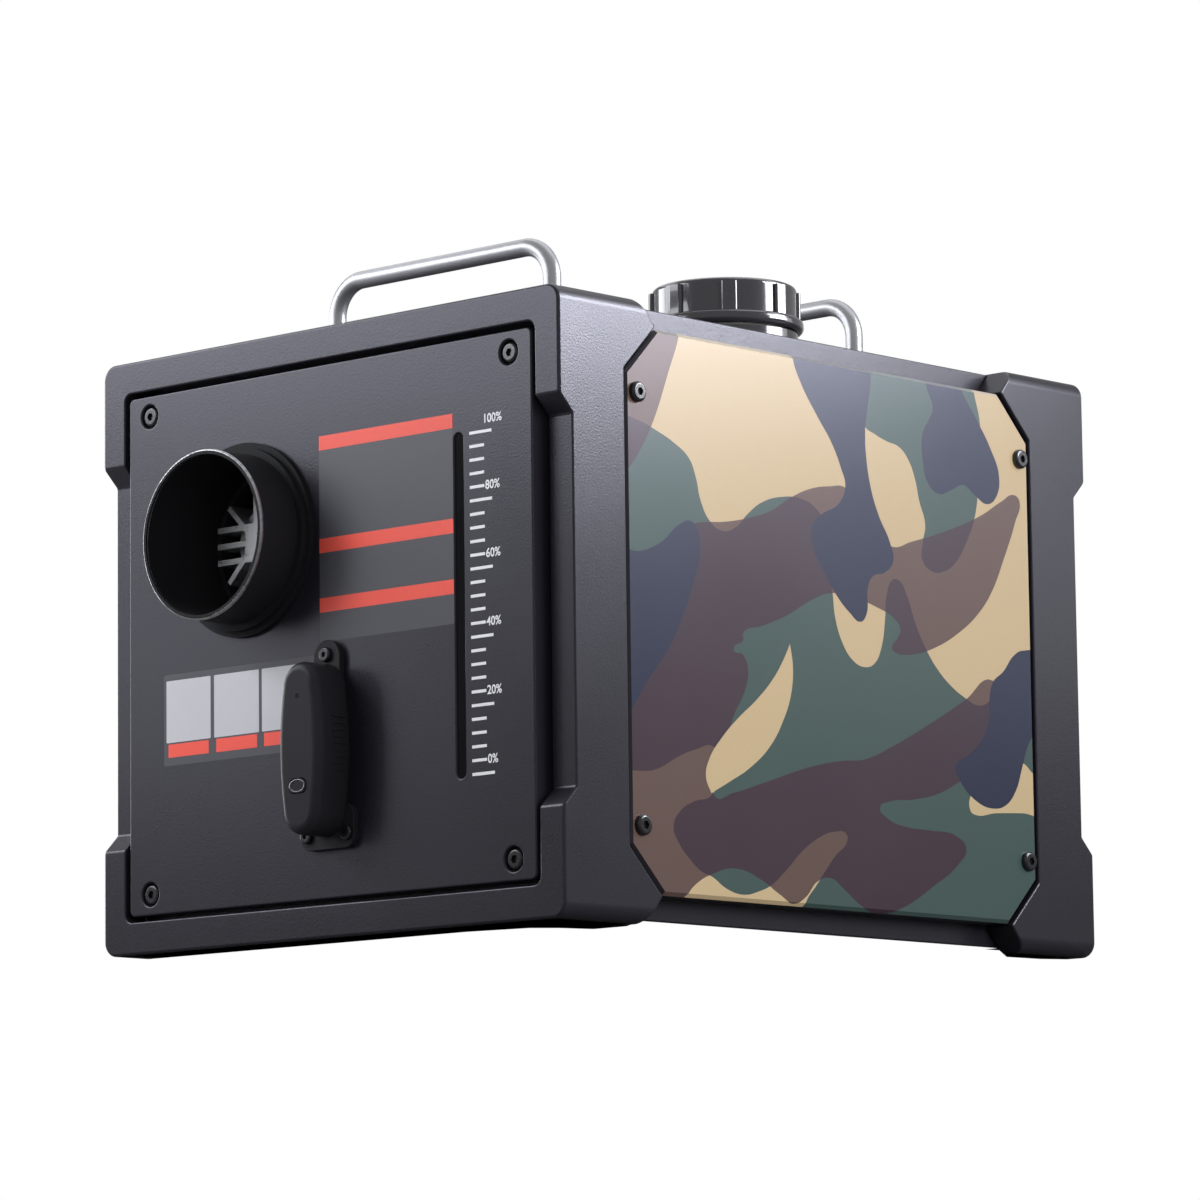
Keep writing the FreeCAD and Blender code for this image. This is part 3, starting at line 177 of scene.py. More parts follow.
class HeaterFilm(bpy.types.PropertyGroup):
    """Inks and lift of the camouflage sheet, as linear light."""
    tan: colour_setting("Tan", "Sand patches", (0.6, 0.45, 0.25))
    green: colour_setting("Green", "Ground ink", (0.048, 0.086, 0.074))
    maroon: colour_setting("Maroon", "Thin ink over sand and green", (0.044, 0.0125, 0.026))
    navy: colour_setting("Navy", "Covering dark ink", (0.012, 0.018, 0.045))
    cover: share_setting("Maroon cover", "How much the maroon ink hides", 0.86)
    # Painted shade: near-black colour of the bevels at the sides and corners, which carry no ink; it stands
    # in for the shade in the groove beside the sheet.
    edge: colour_setting("Edge", "Bare bevel round the sheet", (0.012, 0.012, 0.014))
    bevel: length_setting("Bevel", "Width of the bevel, bare but at the top and bottom", 1.6 * MM)
    # Painted highlight: share by which the top bevel's inks are lightened towards white, in place of the
    # light the bevel catches.
    rub: share_setting("Rub", "How far the top bevel is rubbed white", 0.3)
    corner: length_setting("Corner", "Cut of the sheet's corners", 20.5 * MM)
    lift: length_setting("Lift", "Height of the film over its panel", 0.04 * MM)


class HeaterPrint(bpy.types.PropertyGroup):
    """The level scale and the blank decals on the front panel."""
    ink: colour_setting("Ink", "White screen print", (0.92, 0.92, 0.92))
    band: colour_setting("Band", "Coral bands", (0.9, 0.1, 0.066))
    sheet: colour_setting("Sheet", "Grey decal film", (0.068, 0.068, 0.08))
    square: colour_setting("Square", "Pale squares", (0.56, 0.56, 0.58))
    tick_count: IntProperty(name="Ticks", description="Ticks of the level scale", default=26, min=2)
    tick_start: length_setting("Lowest tick", "Height of the lowest tick", 63.7 * MM)
    tick_pitch: length_setting("Tick pitch", "Distance from tick to tick", 5.836 * MM)
    tick_left: length_setting("Tick start", "Where the ticks start across the panel", 87.9 * MM)
    tick_short: length_setting("Short tick", "Length of a short tick", 8.6 * MM)
    tick_long: length_setting("Long tick", "Length of every fifth tick", 13.1 * MM)
    tick_width: length_setting("Tick width", "Height of a tick's line", 1.3 * MM)
    label_size: length_setting("Label size", "Size of the figures", 5.2 * MM)
    label_gap: length_setting("Label gap", "Distance from a short tick to its figures", 0.5 * MM)
    top_shift: length_setting("Top label shift", "Top figures from the ticks' start", 8 * MM)
    top_rise: length_setting("Top label rise", "Top figures over the top tick", 5.2 * MM)
    lift: length_setting("Lift", "Height of the print over its panel", 0.05 * MM)


class HeaterStage(bpy.types.PropertyGroup):
    """Camera, floor and light."""
    azimuth: angle_setting("Azimuth", "Camera round the heater", 42.525)
    elevation: angle_setting("Elevation", "Camera over the floor", -7.864)
    roll: angle_setting("Roll", "Turn of the picture", -0.721)
    distance: length_setting("Distance", "Camera from its target", 2.6154)
    target: FloatVectorProperty(name="Target", description="What the camera looks at", size=3,
                                subtype="TRANSLATION", unit="LENGTH", default=(-1.48 * MM, 0.0, 163.9 * MM))
    lens: FloatProperty(name="Lens", description="Focal length, in millimetres", default=171.49)
    sensor: FloatProperty(name="Sensor", description="Width of the sensor, in millimetres", default=36.0)
    near: length_setting("Near limit", "Nearest distance that the camera sees", 0.05)
    floor: colour_setting("Floor", "Pale floor", (0.64, 0.64, 0.65))
    fade_start: length_setting("Fade start", "Where the floor starts to fade into the background", 0.42)
    fade_end: length_setting("Fade end", "Where the floor has faded into the background", 1.25)
    light: colour_setting("Light", "Cool daylight of the softboxes", (0.93, 0.945, 1.0))
    bounce: colour_setting("Floor bounce", "What the floor throws back on the heater", (0.16, 0.16, 0.16))
    soft: FloatProperty(name="Soft light", description="Strength of the light from all round", default=0.1)
    mirrored: share_setting("Mirrored white", "How much of the background reflections show", 0.3)


# Shader maths

class Value:
    """A number from a node, whose sums and products are Math nodes."""

    def __init__(self, finish, socket):
        self.finish = finish
        self.socket = socket

    def maths(self, operation, first, second):
        node = self.finish.node("ShaderNodeMath", {"operation": operation}, {0: first, 1: second})
        return Value(self.finish, node.outputs[0])

    def __add__(self, other):
        return self.maths("ADD", self, other)

    def __sub__(self, other):
        return self.maths("SUBTRACT", self, other)

    def __rsub__(self, other):
        return self.maths("SUBTRACT", other, self)

    def __mul__(self, other):
        return self.maths("MULTIPLY", self, other)

    __radd__ = __add__
    __rmul__ = __mul__


FINISHES = {}


class Finish:
    """One node material: a Principled surface on the piece's own coordinates, kept by its name."""

    def __init__(self, name, **constants):
        self.material = bpy.data.materials.new(name)
        self.material.use_nodes = True
        self.tree = self.material.node_tree
        self.tree.nodes.clear()
        self.output = self.tree.nodes.new("ShaderNodeOutputMaterial")
        self.surface = self.tree.nodes.new("ShaderNodeBsdfPrincipled")
        self.tree.links.new(self.surface.outputs["BSDF"], self.output.inputs["Surface"])
        self.place = self.node("ShaderNodeTexCoord").outputs["Object"]
        for socket, value in constants.items():
            self.set(socket.replace("_", " "), value)
        FINISHES[name] = self.material

    def node(self, kind, settings=None, sockets=None):
        node = self.tree.nodes.new(kind)
        for key, value in (settings or {}).items():
            setattr(node, key, value)
        for key, value in (sockets or {}).items():
            self.feed(node, key, value)
        return node

    def feed(self, node, key, value):
        socket = node.inputs[key]
        if isinstance(value, Value):
            value = value.socket
        if isinstance(value, bpy.types.NodeSocket):
            self.tree.links.new(value, socket)
        elif socket.type == "RGBA":
            socket.default_value = (*value, 1.0)
        else:
            socket.default_value = value

    def stretched(self, scale):
        return self.node("ShaderNodeMapping", None, {"Vector": self.place, "Scale": scale}).outputs["Vector"]

    def noise(self, size, detail, place=None):
        node = self.node("ShaderNodeTexNoise", None, {"Vector": place or self.place, "Scale": 1.0 / size,
                                                      "Detail": detail})
        return Value(self, node.outputs["Fac"])

    def mask(self, value, low, high):
        node = self.node("ShaderNodeMapRange", {"interpolation_type": "SMOOTHSTEP"},
                         {"Value": value, "From Min": low, "From Max": high})
        return Value(self, node.outputs["Result"])

    def mix(self, factor, first, second):
        node = self.node("ShaderNodeMix", {"data_type": "RGBA"}, {"Factor": factor, 6: first, 7: second})
        return node.outputs[2]

    def bump(self, height, depth):
        node = self.node("ShaderNodeBump", None, {"Height": height, "Distance": depth})
        self.set("Normal", node.outputs["Normal"])

    def blend(self, factor, first, second):
        """Shows one shader where the factor is 0, and another where it is 1."""
        sockets = {"Fac": factor, 1: first.outputs[0], 2: second.outputs[0]}
        node = self.node("ShaderNodeMixShader", None, sockets)
        self.tree.links.new(node.outputs["Shader"], self.output.inputs["Surface"])

    def set(self, socket, value):
        self.feed(self.surface, socket, value)


def tinted(colour, share):
    return tuple(min(1.0, c * share) for c in colour)


def moulded(name, colour, roughness, grain, depth, spread=0.1, shine=0.45, sheen=WHITE):
    """Moulded plastic: fine grain, slight mottling, and rubbed patches that shine a little more."""
    finish = Finish(name, Specular_IOR_Level=shine, Specular_Tint=sheen)
    cloud = finish.noise(size=45 * MM, detail=3.0)
    fine = finish.noise(size=grain, detail=2.0)
    finish.set("Base Color", finish.mix(cloud, tinted(colour, 1 - spread), tinted(colour, 1 + spread)))
    finish.set("Roughness", roughness - 0.04 + cloud * 0.06 + fine * 0.04)
    finish.bump(fine, depth=depth)


def coated(name, colour, roughness, sheen=WHITE):
    """Powder coat: low orange peel with fine specks."""
    finish = Finish(name, Specular_IOR_Level=0.45, Specular_Tint=sheen)
    peel = finish.noise(size=1.4 * MM, detail=1.0)
    speck = finish.mask(finish.noise(size=0.5 * MM, detail=1.0), low=0.62, high=0.75)
    finish.set("Base Color", finish.mix(speck, colour, tinted(colour, 1.35)))
    finish.set("Roughness", roughness + peel * 0.08)
    finish.bump(peel + speck * 0.3, depth=0.05 * MM)


def satin_steel(name, colour, roughness, along):
    """Satin rod: faint lines along its length and a little haze."""
    finish = Finish(name, Metallic=0.65)
    stretch = tuple(40 if axis == along else 1400 for axis in range(3))
    lines = finish.noise(size=1.0, detail=2.0, place=finish.stretched(stretch))
    haze = finish.noise(size=18 * MM, detail=2.0)
    finish.set("Base Color", finish.mix(haze, tinted(colour, 0.94), colour))
    finish.set("Roughness", roughness + lines * 0.04 + haze * 0.05)
    finish.bump(lines, depth=0.0004 * MM)


def plated_steel(name, colour, roughness):
    """Plated or drawn steel: cloudy grain and dull specks."""
    finish = Finish(name, Metallic=1.0)
    cloud = finish.noise(size=6 * MM, detail=4.0)
    speck = finish.mask(finish.noise(size=0.8 * MM, detail=2.0), low=0.6, high=0.72)
    finish.set("Base Color", finish.mix(cloud, tinted(colour, 0.75), colour))
    finish.set("Roughness", roughness + cloud * 0.14 + speck * 0.1)
    finish.bump(cloud + speck * 0.4, depth=0.02 * MM)


def black_oxide(name):
    finish = Finish(name, Metallic=0.85)
    cloud = finish.noise(size=1.6 * MM, detail=3.0)
    worn = finish.mask(finish.noise(size=0.7 * MM, detail=2.0), low=0.58, high=0.75)
    finish.set("Base Color", finish.mix(worn, (0.055, 0.055, 0.058), (0.12, 0.118, 0.115)))
    finish.set("Roughness", 0.18 + cloud * 0.12)
    finish.bump(cloud, depth=0.02 * MM)


def polished_plastic(name, colour, roughness):
    """Polished plastic: hair scratches, fine dust and a thin clear coat."""
    finish = Finish(name, Coat_Weight=0.9, Coat_Roughness=0.05)
    hairs = finish.noise(size=1.0, detail=2.0, place=finish.stretched((700, 90, 700)))
    dust = finish.mask(finish.noise(size=0.35 * MM, detail=1.0), low=0.7, high=0.8)
    finish.set("Base Color", finish.mix(dust, colour, tinted(colour, 2.6)))
    finish.set("Roughness", roughness + hairs * 0.08 + dust * 0.12)
    finish.bump(hairs, depth=0.006 * MM)


def rubbed_rim(name):
    """Outlet lip as pale satin metal: its colour is a painted highlight, added to the real reflections of the
    lamps, with darker scuffs.
    """
    finish = Finish(name, Metallic=0.9)
    scuff = finish.mask(finish.noise(size=2.2 * MM, detail=3.0), low=0.5, high=0.7)
    finish.set("Base Color", finish.mix(scuff, (0.42, 0.42, 0.43), (0.26, 0.26, 0.265)))
    finish.set("Roughness", 0.28 + scuff * 0.14)
    finish.bump(scuff, depth=0.01 * MM)


def smoked_window(name):
    finish = Finish(name, Specular_IOR_Level=0.06, Coat_Weight=0.03, Coat_Roughness=0.03)
    smear = finish.noise(size=7 * MM, detail=3.0, place=finish.stretched((1, 1, 0.3)))
    finish.set("Base Color", finish.mix(smear, (0.004, 0.004, 0.005), (0.009, 0.009, 0.011)))
    finish.set("Roughness", 0.05 + smear * 0.1)


def tank_plastic(name):
    finish = Finish(name)
    cloud = finish.noise(size=22 * MM, detail=4.0)
    pebble = finish.noise(size=1.1 * MM, detail=2.0)
    finish.set("Base Color", finish.mix(cloud, (0.6, 0.58, 0.5), (0.78, 0.77, 0.71)))
    finish.set("Roughness", 0.38 + pebble * 0.15)
    finish.bump(pebble, depth=0.06 * MM)


def rubber(name, roughness):
    finish = Finish(name)
    bloom = finish.noise(size=5 * MM, detail=4.0)
    pore = finish.noise(size=0.4 * MM, detail=2.0)
    finish.set("Base Color", finish.mix(bloom, (0.012, 0.012, 0.012), (0.026, 0.026, 0.026)))
    finish.set("Roughness", roughness + bloom * 0.12)
    finish.bump(pore, depth=0.03 * MM)


def cast_aluminium(name):
    """Sand-rough casting with dark pits and rubbed high places."""
    finish = Finish(name, Metallic=0.85)
    sand = finish.noise(size=0.9 * MM, detail=4.0)
    pit = finish.mask(finish.noise(size=1.7 * MM, detail=2.0), low=0.63, high=0.74)
    cloud = finish.noise(size=9 * MM, detail=3.0)
    base = finish.mix(cloud, (0.36, 0.36, 0.37), (0.55, 0.55, 0.56))
    finish.set("Base Color", finish.mix(pit, base, (0.16, 0.16, 0.165)))
    finish.set("Roughness", 0.42 + sand * 0.2)
    finish.bump(sand - pit * 0.6, depth=0.12 * MM)


def circuit_board(name):
    """Solder mask with paler copper runs under it."""
    finish = Finish(name)
    runs = finish.node("ShaderNodeTexBrick", {"offset": 0.35}, {
        "Vector": finish.stretched((1, 0, 1)), "Scale": 90.0, "Mortar Size": 0.012,
        "Color1": (0.012, 0.075, 0.03), "Color2": (0.014, 0.09, 0.036), "Mortar": (0.05, 0.2, 0.08)})
    weave = finish.noise(size=0.5 * MM, detail=2.0)
    finish.set("Base Color", runs.outputs["Color"])
    finish.set("Roughness", 0.3 + weave * 0.12)
    finish.bump(weave, depth=0.02 * MM)


def printed_film(name, attribute, sheen):
    """Printed sheet under a satin clear coat, with the faint relief of the panel under it."""
    finish = Finish(name, Specular_IOR_Level=0.32, Specular_Tint=sheen, Coat_Weight=0.04,
                    Coat_Roughness=0.22)
    ink = finish.node("ShaderNodeAttribute", {"attribute_name": attribute}).outputs["Color"]
    dots = finish.noise(size=0.45 * MM, detail=1.0)
    cloud = finish.noise(size=60 * MM, detail=2.0)
    worn = finish.mix(cloud * 0.04, ink, (0.2, 0.2, 0.2))
    finish.set("Base Color", finish.mix(dots * 0.1, worn, (0.02, 0.02, 0.022)))
    finish.set("Roughness", 0.26 + cloud * 0.06 + dots * 0.05)
    finish.bump(dots, depth=0.02 * MM)


def ink(name, colour, roughness):
    """Screen ink: a slightly uneven layer with pinholes."""
    finish = Finish(name, Specular_IOR_Level=0.35)
    flow = finish.noise(size=2.5 * MM, detail=3.0)
    pinhole = finish.mask(finish.noise(size=0.3 * MM, detail=1.0), low=0.68, high=0.78)
    finish.set("Base Color", finish.mix(pinhole * 0.35 + flow * 0.08, colour, tinted(colour, 0.45)))
    finish.set("Roughness", roughness + flow * 0.1)
    finish.bump(flow, depth=0.01 * MM)


def make_finishes(colours, marks):
    """Makes the finishes, one for each of the record's slots and one for each print."""
    sheen = tuple(colours.sheen)
    moulded("case_plastic", colours.plastic, roughness=0.28, grain=colours.grain, depth=0.06 * MM,
            sheen=sheen)
    coated("case_paint", colours.paint, roughness=0.28, sheen=sheen)
    coated("camouflage_panel", (0.03, 0.03, 0.034), roughness=0.36)
    black_oxide("black_screw")
    satin_steel("handle_steel", colours.steel, roughness=0.31, along=0)
    plated_steel("bright_steel", (0.62, 0.61, 0.59), roughness=0.24)
    moulded("duct_plastic", colours.duct, roughness=0.55, grain=0.35 * MM, depth=0.02 * MM, spread=0.2,
            shine=0.08)
    polished_plastic("gloss_black", colours.gloss, roughness=0.13)
    smoked_window("smoked_clear")
    tank_plastic("tank_plastic")
    rubber("black_rubber", roughness=0.55)
    cast_aluminium("cast_aluminium")
    moulded("heater_plastic", (0.022, 0.022, 0.024), roughness=0.5, grain=0.8 * MM, depth=0.06 * MM)
    plated_steel("pipe_steel", (0.56, 0.54, 0.5), roughness=0.28)
    coated("motor_paint", (0.16, 0.16, 0.17), roughness=0.4)
    moulded("fan_plastic", (0.035, 0.035, 0.036), roughness=0.42, grain=0.6 * MM, depth=0.04 * MM)
    circuit_board("board_green")
    moulded("remote_plastic", colours.remote, roughness=0.4, grain=0.3 * MM, depth=0.015 * MM, shine=0.14)
    plated_steel("battery_steel", (0.72, 0.72, 0.72), roughness=0.16)
    printed_film("film_print", "ink", sheen)
    # Pale metal bead on the outlet lip: its colour is a painted highlight.
    rubbed_rim("duct_rim")
    ink("unlit_segment", (0.022, 0.023, 0.025), roughness=0.3)
    ink("white_ink", marks.ink, roughness=0.4)
    ink("coral_ink", marks.band, roughness=0.36)
    ink("decal_sheet", marks.sheet, roughness=0.34)
    ink("pale_ink", marks.square, roughness=0.38)


# Pieces

def add_piece(name, bm, finish, body=ROOT, smooth=True, sharp=SHARP):
    """Turns a bmesh into a piece that rides on a body and takes its finish from a slot."""
    mesh = bpy.data.meshes.new(name)
    bm.to_mesh(mesh)
    bm.free()
    if not mesh.polygons:
        raise RuntimeError(name + " has no faces")
    if smooth:
        mesh.shade_smooth()
        mesh.set_sharp_from_angle(angle=sharp)
    piece = bpy.data.objects.new(name, mesh)
    bpy.context.scene.collection.objects.link(piece)
    mesh.materials.append(FINISHES[finish])
    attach(piece, body)
    return piece


def weight_normals(piece):
    piece.modifiers.new("flat faces, soft edges", "WEIGHTED_NORMAL").keep_sharp = True


def welded_copy(node):
    bm = bmesh.new()
    bm.from_mesh(frame["nodes"][node].data)
    bmesh.ops.remove_doubles(bm, verts=bm.verts, dist=WELD)
    bmesh.ops.dissolve_limit(bm, angle_limit=FLAT, verts=bm.verts, edges=bm.edges, delimit=set())
    return bm


def round_off(bm, geom, radius, affect="EDGES", segments=3):
    bmesh.ops.bevel(bm, geom=geom, offset=radius, offset_type="OFFSET", affect=affect, segments=segments,
                    profile=0.5, material=-1)


def soften(node, radius, finish, body=ROOT):
    """A copy of a moulding whose sharp edges are rounded, in the node's place."""
    bm = welded_copy(node)
    round_off(bm, [e for e in bm.edges if e.is_manifold and e.calc_face_angle() > SHARP], radius)
    piece = add_piece(node + ".soft", bm, finish, body, sharp=ROUNDED)
    weight_normals(piece)
    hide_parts(node)


FORWARD = Matrix.Rotation(math.pi / 2, 4, "X")
BACKWARD = Matrix.Rotation(-math.pi / 2, 4, "X")


def add_plate(bm, place, width, height):
    """Adds a plain plate whose middle and facing come from a matrix."""
    return bmesh.ops.create_grid(bm, x_segments=1, y_segments=1, size=0.5,
                                 matrix=place @ Matrix.Diagonal((width, height, 1, 1)))


def flat_plate(bm, centre, width, height, y, corner=0.0, turn=FORWARD):
    """Adds a plate that faces forward, or the way it is turned, with round corners if asked."""
    made = add_plate(bm, Matrix.Translation((centre[0], y, centre[1])) @ turn, width, height)
    if corner:
        round_off(bm, made["verts"], corner, "VERTICES", 4)


def bead_ring(radius, bead, sides, steps):
    """A round bead bent into a ring about the Z axis."""
    bm = bmesh.new()
    place = Matrix.Translation((radius, 0, 0)) @ FORWARD
    circle = bmesh.ops.create_circle(bm, segments=sides, radius=bead, matrix=place)
    bmesh.ops.spin(bm, geom=circle["verts"] + bm.edges[:], cent=(0, 0, 0), axis=(0, 0, 1), angle=2 * math.pi,
                   steps=steps, use_merge=True)
    bmesh.ops.remove_doubles(bm, verts=bm.verts, dist=WELD)
    bmesh.ops.recalc_face_normals(bm, faces=bm.faces)
    return bm


def mesh_of(curve):
    """The mesh of a curve or text, which is itself removed."""
    holder = bpy.data.objects.new(curve.name, curve)
    bpy.context.scene.collection.objects.link(holder)
    graph = bpy.context.evaluated_depsgraph_get()
    mesh = bpy.data.meshes.new_from_object(holder.evaluated_get(graph))
    bpy.data.objects.remove(holder)
    bpy.data.curves.remove(curve)
    return mesh


class HEATER_OT_finish_nodes(bpy.types.Operator):
    """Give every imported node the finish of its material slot"""
    bl_idname = "heater.finish_nodes"
    bl_label = "Finish nodes"

    def execute(self, context):
        scene = context.scene
        make_finishes(scene.heater_finishes, scene.heater_print)
        for row in frame["record"]["subparts"]:
            mesh = frame["nodes"][row["node"]].data
            mesh.materials.clear()
            mesh.materials.append(FINISHES[row["material_slot"]])
        return {"FINISHED"}


class HEATER_OT_soften_case(bpy.types.Operator):
    """Round the moulded edges of the case"""
    bl_idname = "heater.soften_case"
    bl_label = "Case mouldings"

    def execute(self, context):
        edge = context.scene.heater_finishes.edge
        for node in ("front_end_cap", "rear_end_cap", "front_panel", "rear_panel"):
            soften(node, edge, "case_plastic")
        for node in ("top_cover", "base_tray"):
            soften(node, edge, "case_paint")
        soften("remote_holder", edge / 3, "remote_plastic")
        return {"FINISHED"}


# Camouflage film

# Triangles are kept inside the outlines only, and points nearer than this are joined.
INSIDE = 1
NEAR = 1e-7


def smooth_outline(points, corners=()):
    """Points along the smooth closed line through the given ones; corners keeps some of them sharp."""
    curve = bpy.data.curves.new("outline", "CURVE")
    curve.dimensions = "3D"
    curve.resolution_u = 7
    spline = curve.splines.new("BEZIER")
    spline.bezier_points.add(len(points) - 1)
    spline.use_cyclic_u = True
    for n, (knot, (along, up)) in enumerate(zip(spline.bezier_points, points)):
        knot.co = (along * MM, up * MM, 0)
        knot.handle_left_type = knot.handle_right_type = "VECTOR" if n in corners else "AUTO"
    mesh = mesh_of(curve)
    line = [v.co.xy for v in mesh.vertices]
    bpy.data.meshes.remove(mesh)
    area = sum(a.cross(b) for a, b in zip(line, line[1:] + line[:1]))
    return line if area > 0 else line[::-1]


def octagon(half, low, high, cut, inset):
    end = half - inset
    low = low + inset
    high = high - inset
    cut = cut - inset * (2 - math.sqrt(2))
    return [Vector(p) for p in ((cut - end, low), (end - cut, low), (end, low + cut), (end, high - cut),
                                (end - cut, high), (cut - end, high), (-end, high - cut), (-end, low + cut))]


def depth_inside(point, outline):
    """How far a point lies inside a convex outline."""
    return min((b - a).normalized().cross(point - a) for a, b in zip(outline, outline[1:] + outline[:1]))


def film_ink(film, tan, maroon, navy, leaf):
    colour = Vector(film.tan if tan or leaf else film.green)
    if maroon and not leaf:
        colour = colour.lerp(Vector(film.maroon), film.cover)
    if navy and not leaf:
        colour = Vector(film.navy)
    return colour


def make_film(name, turn, film):
    """Lays the sheet over a side panel and its bevel, and stores on its faces each patch's ink, a painted
    shade on the side bevels and a painted highlight on the top bevel.
    """
    low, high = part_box("right_side_panel")
    outer = octagon(high.y, low.z, high.z, film.corner, 0.0)
    inner = octagon(high.y, low.z, high.z, film.corner, film.bevel)
    groups = ["sheet", "face"]
    outlines = [outer, inner]
    for kind, patches in (("tan", TAN_PATCHES), ("maroon", MAROON_PATCHES), ("navy", NAVY_PATCHES)):
        for patch in patches:
            groups.append(kind)
            outlines.append(smooth_outline(patch))
    groups.append("leaf")
    outlines.append(smooth_outline(TAN_LEAF, LEAF_TIPS))
    points, faces = [], []
    for line in outlines:
        faces.append(list(range(len(points), len(points) + len(line))))
        points.extend(line)
    verts, _, triangles, _, _, owners = delaunay_2d_cdt(points, [], faces, INSIDE, NEAR, True)
    bm = bmesh.new()
    store = bm.loops.layers.float_color.new("ink")
    made = {}
    for corners, owner in zip(triangles, owners):
        kinds = {groups[n] for n in owner}
        if "sheet" not in kinds:
            continue
        for n in corners:
            if n not in made:
                back = max(0.0, film.bevel - depth_inside(verts[n], outer))
                made[n] = bm.verts.new((high.x + film.lift - back, verts[n].x, verts[n].y))
        face = bm.faces.new([made[n] for n in corners])
        height = sum(verts[n].y for n in corners) / 3
        rim = "face" not in kinds
        top = height > high.z - film.bevel
        # The bevels at the sides and corners get the near-black edge colour, a painted shade of the groove
        # beside the sheet; the bottom bevel keeps its inks.
        if rim and not top and height > low.z + film.bevel:
            colour = Vector(film.edge)
        else:
            colour = film_ink(film, "tan" in kinds, "maroon" in kinds, "navy" in kinds, "leaf" in kinds)
        # Painted highlight: the top bevel is lightened towards white.
        if rim and top:
            colour = colour.lerp(Vector(WHITE), film.rub)
        for loop in face.loops:
            loop[store] = (*colour, 1.0)
    if turn:
        bmesh.ops.rotate(bm, verts=bm.verts, cent=(0, 0, 0), matrix=Matrix.Rotation(math.pi, 3, "Z"))
    add_piece(name, bm, "film_print", smooth=False)


class HEATER_OT_print_films(bpy.types.Operator):
    """Lay the camouflage sheet on both side panels"""
    bl_idname = "heater.print_films"
    bl_label = "Camouflage films"

    def execute(self, context):
        film = context.scene.heater_film
        make_film("right_film", False, film)
        make_film("left_film", True, film)
        return {"FINISHED"}


# Prints on the front panel

BOLD_SHARE = 0.02
STRETCH_SHARES = (0.98, 1.04, 1, 1)
TICKS_PER_LABEL = 5
LABEL_STEPS = 5
PERCENT_STEP = 20

UPPER_SHEET = {"centre": (37.55 * MM, 174.15 * MM), "width": 81.1 * MM, "height": 90.5 * MM}
LOWER_SHEET = {"centre": (-52.45 * MM, 103.15 * MM), "width": 98.9 * MM, "height": 40.7 * MM}
SHEET_CORNER = 0.8 * MM
UPPER_BANDS_UP = (216.25 * MM, 171.0 * MM, 144.9 * MM)
UPPER_BAND_HEIGHT = 6.3 * MM
SQUARES_ACROSS = (-86.1 * MM, -55.45 * MM, -25.2 * MM)
SQUARES_UP = 106.85 * MM
SQUARE_SIZE = (28.4 * MM, 27.7 * MM)
SQUARE_CORNER = 0.5 * MM
LOWER_BANDS_UP = 89.35 * MM
LOWER_BAND_SIZE = (25.9 * MM, 5.9 * MM)


def text_mesh(words, size):
    """Flat figures in the XY plane as a bmesh."""
    curve = bpy.data.curves.new("figures", "FONT")
    curve.body = words
    curve.size = size
    curve.align_x = "LEFT"
    curve.align_y = "CENTER"
    curve.offset = size * BOLD_SHARE
    curve.resolution_u = 4
    mesh = mesh_of(curve)
    bm = bmesh.new()
    bm.from_mesh(mesh)
    bpy.data.meshes.remove(mesh)
    return bm


def front_face():
    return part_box("front_panel")[0].y


class HEATER_OT_print_gauge(bpy.types.Operator):
    """Print the level scale beside its slot"""
    bl_idname = "heater.print_gauge"
    bl_label = "Level scale"

    def execute(self, context):
        p = context.scene.heater_print
        y = front_face() - p.lift
        ticks = bmesh.new()
        for n in range(p.tick_count):
            length = p.tick_short if n % TICKS_PER_LABEL else p.tick_long
            height = p.tick_start + n * p.tick_pitch
            flat_plate(ticks, (p.tick_left + length / 2, height), length, p.tick_width, y)
        add_piece("level_ticks", ticks, "white_ink", smooth=False)
        for step in range(LABEL_STEPS):
            tick = 1 + step * TICKS_PER_LABEL
            place = (p.tick_left + p.tick_short + p.label_gap, p.tick_start + tick * p.tick_pitch)
            self.label(p, step * PERCENT_STEP, place, y)
        top = p.tick_start + (p.tick_count - 1) * p.tick_pitch
        self.label(p, LABEL_STEPS * PERCENT_STEP, (p.tick_left + p.top_shift, top + p.top_rise), y)
        return {"FINISHED"}

    def label(self, p, percent, place, y):
        bm = text_mesh(str(percent) + "%", p.label_size)
        stand = Matrix.Translation((place[0], y, place[1])) @ FORWARD
        bmesh.ops.transform(bm, matrix=stand @ Matrix.Diagonal(STRETCH_SHARES), verts=bm.verts)
        add_piece("level_label_" + str(percent), bm, "white_ink", smooth=False)


class HEATER_OT_lay_decals(bpy.types.Operator):
    """Lay the blank decals with their coral bands and pale squares"""
    bl_idname = "heater.lay_decals"
    bl_label = "Blank decals"

    def execute(self, context):
        p = context.scene.heater_print
        y = front_face() - p.lift
        top = y - p.lift
        sheets = bmesh.new()
        for sheet in (UPPER_SHEET, LOWER_SHEET):
            flat_plate(sheets, y=y, corner=SHEET_CORNER, **sheet)
        add_piece("decal_sheets", sheets, "decal_sheet", smooth=False)
        bands = bmesh.new()
        for up in UPPER_BANDS_UP:
            flat_plate(bands, (UPPER_SHEET["centre"][0], up), UPPER_SHEET["width"], UPPER_BAND_HEIGHT, top)
        squares = bmesh.new()
        for across in SQUARES_ACROSS:
            flat_plate(squares, (across, SQUARES_UP), *SQUARE_SIZE, top, SQUARE_CORNER)
            flat_plate(bands, (across, LOWER_BANDS_UP), *LOWER_BAND_SIZE, top)
        add_piece("decal_bands", bands, "coral_ink", smooth=False)
        add_piece("decal_squares", squares, "pale_ink", smooth=False)
        return {"FINISHED"}


# Outlet

RIM_RADIUS = 36.6 * MM
RIM_BEAD = 1.15 * MM


